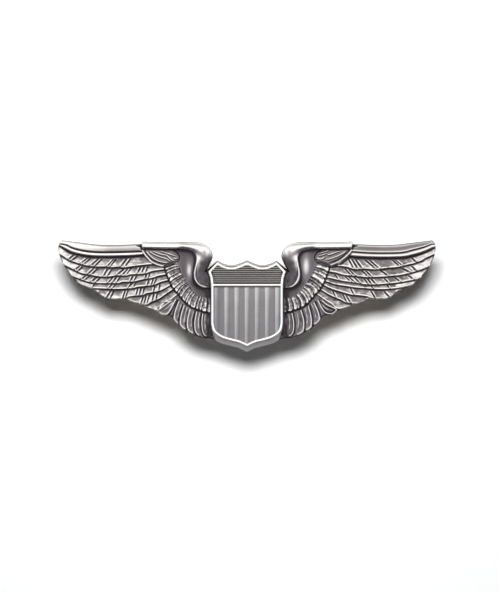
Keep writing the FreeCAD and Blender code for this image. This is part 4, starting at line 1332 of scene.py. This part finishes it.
def world_light():
    """White to the eye, soft for matt surfaces, and bright above and dark below in the metal."""
    world = bpy.data.worlds.new("studio")
    bpy.context.scene.world = world
    world.use_nodes = True
    tree = world.node_tree
    tree.nodes.clear()
    out = tree.nodes.new("ShaderNodeOutputWorld")
    path = tree.nodes.new("ShaderNodeLightPath")
    seen = tree.nodes.new("ShaderNodeBackground")
    seen.inputs["Color"].default_value = (1, 1, 1, 1)
    seen.inputs["Strength"].default_value = 1.0
    soft = tree.nodes.new("ShaderNodeBackground")
    soft.inputs["Color"].default_value = SOFT_COLOUR
    soft.inputs["Strength"].default_value = SOFT_STRENGTH
    shiny = tree.nodes.new("ShaderNodeBackground")
    place = tree.nodes.new("ShaderNodeTexCoord")
    apart = tree.nodes.new("ShaderNodeSeparateXYZ")
    tree.links.new(place.outputs["Generated"], apart.inputs[0])

    def ramp(value, stops):
        node = tree.nodes.new("ShaderNodeValToRGB")
        tree.links.new(value, node.inputs[0])
        elements = node.color_ramp.elements
        elements[0].position, elements[0].color = stops[0][0], (*stops[0][1], 1)
        elements[1].position, elements[1].color = stops[-1][0], (*stops[-1][1], 1)
        for position, colour in stops[1:-1]:
            elements.new(position).color = (*colour, 1)
        return node.outputs[0]

    def share(value):
        """A direction's part from -1 to 1, as 0 to 1."""
        return math_node(tree, "MULTIPLY_ADD", value, 0.5, 0.5)

    upright = ramp(share(apart.outputs["Z"]), UPRIGHT_GLOW)
    sideways = ramp(share(apart.outputs["X"]), SIDEWAYS_GLOW)
    product = tree.nodes.new("ShaderNodeMix")
    product.data_type = "RGBA"
    product.blend_type = "MULTIPLY"
    product.inputs[0].default_value = 1.0
    tree.links.new(upright, product.inputs[6])
    tree.links.new(sideways, product.inputs[7])
    tree.links.new(product.outputs[2], shiny.inputs["Color"])
    shiny.inputs["Strength"].default_value = SHINE_STRENGTH
    world.cycles.sampling_method = "NONE"
    first = tree.nodes.new("ShaderNodeMixShader")
    tree.links.new(path.outputs["Is Glossy Ray"], first.inputs[0])
    tree.links.new(soft.outputs[0], first.inputs[1])
    tree.links.new(shiny.outputs[0], first.inputs[2])
    last = tree.nodes.new("ShaderNodeMixShader")
    tree.links.new(path.outputs["Is Camera Ray"], last.inputs[0])
    tree.links.new(first.outputs[0], last.inputs[1])
    tree.links.new(seen.outputs[0], last.inputs[2])
    tree.links.new(last.outputs[0], out.inputs[0])


def make_stage():
    wide, y, z = STAGE_HALF, WALL_BEHIND, FLOOR_UNDER
    plain_sheet("backdrop", [(-wide, y, z), (wide, y, z), (wide, y, WALL_TOP), (-wide, y, WALL_TOP)],
                (0.95, 0.95, 0.95, 1), True, 0.0)
    plain_sheet("floor", [(-wide, -wide, z), (wide, -wide, z), (wide, wide, z), (-wide, wide, z)],
                (0.85, 0.85, 0.84, 1), False, FLOOR_GLOW)
    world_light()
    area_light("key", KEY_PLACE, KEY_WIDE, KEY_HIGH, KEY_POWER, False)
    area_light("back_light", BACK_PLACE, BACK_SIZE, BACK_SIZE, BACK_POWER, True)


def make_camera():
    data = bpy.data.cameras.new("camera")
    data.lens = 100
    data.sensor_width = 36
    data.clip_start, data.clip_end = 0.01, 10
    camera = bpy.data.objects.new("camera", data)
    camera.location = (CAMERA_ACROSS, -CAMERA_BACK, CAMERA_UP)
    camera.rotation_euler = (math.pi / 2, 0, 0)
    bpy.context.scene.collection.objects.link(camera)
    bpy.context.scene.camera = camera
    bpy.context.scene.view_settings.view_transform = "Standard"


# ---------------------------------------------------------------- putting it together

def badge_metals(groups):
    """The wings' silver, worn back by rubbing and carrying painted highlights and shade, and the shield's
    silver place by place, with painted shade and highlights on its sunk panels.
    """
    # The wings' level is their attribute, which carries the rubbing and the painted highlights and shade.
    antique = finish("antique_silver", groups, {
        "Bright": (0.92, 0.9, 0.87, 1), "Middle": (0.24, 0.22, 0.23, 1),
        "Dark": (0.02, 0.014, 0.018, 1), "Blotch Strength": 0.12, "Grain Strength": 0.1,
        "Rough Bright": 0.22, "Rough Dark": 0.5}, polish_and_light=0.0, changes=[("polish_and_light", 0, 1, 0, 1)])
    silver = {
        "Bright": (0.93, 0.92, 0.9, 1), "Middle": (0.235, 0.228, 0.235, 1),
        "Dark": (0.016, 0.01, 0.014, 1), "Blotch Strength": 0.1, "Grain Strength": 0.16,
        "Rough Bright": 0.25, "Rough Dark": 0.5}
    rim = finish("rim_silver", groups, silver, polish_and_light=1.0)
    # Painted shade on the chief's floor at its left end.
    chief = finish("chief_floor_silver", groups, silver, polish_and_light=0.07, changes=[
        ("X", -7.0, -5.8, -0.07, 0.0)])
    # Painted light on the field's floor: lighter towards the top, with painted shade under the crossbar and
    # along both side walls, more on the left.
    field = finish("field_floor_silver", groups, silver, polish_and_light=0.46, changes=[
        ("Z", -8, 1.4, 0.0, 0.05), ("Z", 1.3, 1.8, 0.0, -0.3), ("X", -6.7, -4.6, -0.14, 0.0),
        ("X", 4.6, 6.7, 0.0, -0.08)])
    wall = finish("sunk_wall_silver", groups, silver, polish_and_light=0.04)
    flank = finish("flank_silver", groups, silver, polish_and_light=0.46)
    chief_ribs = finish("chief_rib_silver", groups, silver, polish_and_light=0.86)
    # Painted light on the pales: lighter towards the top, a painted shadow line at each pale's left edge
    # with a painted highlight beside it that fades across, and painted shade on the left.
    pale = finish("pale_silver", groups, silver, polish_and_light=0.5, changes=[
        ("Z", -8, 1.5, 0.0, 0.12), ("across", 0.0, 0.12, -0.15, 0.0),
        ("across", 0.1, 0.95, 0.14, -0.06), ("X", -6.7, -4.4, -0.12, 0.0)])
    return antique, (rim, chief, field, wall, flank), chief_ribs, pale


def fixing_metals(groups):
    """The metals of the posts and clutches, by a word in the piece's name."""
    post = finish("post_silver", groups, {
        "Bright": (0.82, 0.81, 0.78, 1), "Middle": (0.5, 0.48, 0.46, 1),
        "Dark": (0.1, 0.09, 0.09, 1), "Rough Bright": 0.25}, polish_and_light=0.8)
    solder = finish("solder", groups, {
        "Bright": (0.6, 0.6, 0.6, 1), "Middle": (0.42, 0.42, 0.43, 1),
        "Dark": (0.12, 0.12, 0.12, 1), "Rough Bright": 0.4, "Rough Dark": 0.65}, polish_and_light=0.6)
    brass = finish("clutch_brass", groups, {
        "Bright": (0.86, 0.62, 0.28, 1), "Middle": (0.6, 0.4, 0.16, 1),
        "Dark": (0.2, 0.12, 0.05, 1), "Rough Bright": 0.22}, polish_and_light=0.8)
    fingers = finish("finger_brass", groups, {
        "Bright": (0.9, 0.66, 0.32, 1), "Middle": (0.62, 0.42, 0.18, 1),
        "Dark": (0.2, 0.12, 0.05, 1), "Rough Bright": 0.2}, polish_and_light=0.85)
    steel = finish("spring_steel", groups, {
        "Bright": (0.62, 0.63, 0.65, 1), "Middle": (0.45, 0.46, 0.47, 1),
        "Dark": (0.12, 0.12, 0.12, 1), "Rough Bright": 0.22}, polish_and_light=0.8)
    return {"solder": solder, "post": post, "cup": brass, "cover": brass, "wing": fingers,
            "spring": steel}


def make_badge(groups):
    antique, shield_metals, chief_ribs, pale = badge_metals(groups)
    pieces = []
    for side in ("left", "right"):
        wing = make_wing(side)
        wing.data.materials.append(antique)
        pieces.append(wing)
    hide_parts("wing_plate")
    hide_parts("wing_plate")
    body, pales, ribs = make_shield(shield_metals, chief_ribs, pale)
    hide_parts("shield")
    pieces += [body, pales, ribs]
    for piece in pieces:
        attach(piece, "badge")


def make_springs(steel):
    for side in ("left", "right"):
        for which in ("upper", "lower"):
            leg = make_spring_leg(side, which)
            leg.data.materials.append(steel)
            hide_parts(f"{side}_clutch_spring")
            spread_with_finger(leg, side, which)


def finish_fixings(metals):
    for name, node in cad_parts.items():
        if name in ("wing_plate", "shield") or "spring" in name:
            continue
        metal = next(m for word, m in metals.items() if word in name)
        node.data.materials.clear()
        node.data.materials.append(metal)


def main():
    groups = {"worn": worn_group(), "patina": patina_group()}
    make_badge(groups)
    metals = fixing_metals(groups)
    make_springs(metals["spring"])
    finish_fixings(metals)
    make_stage()
    make_camera()


main()
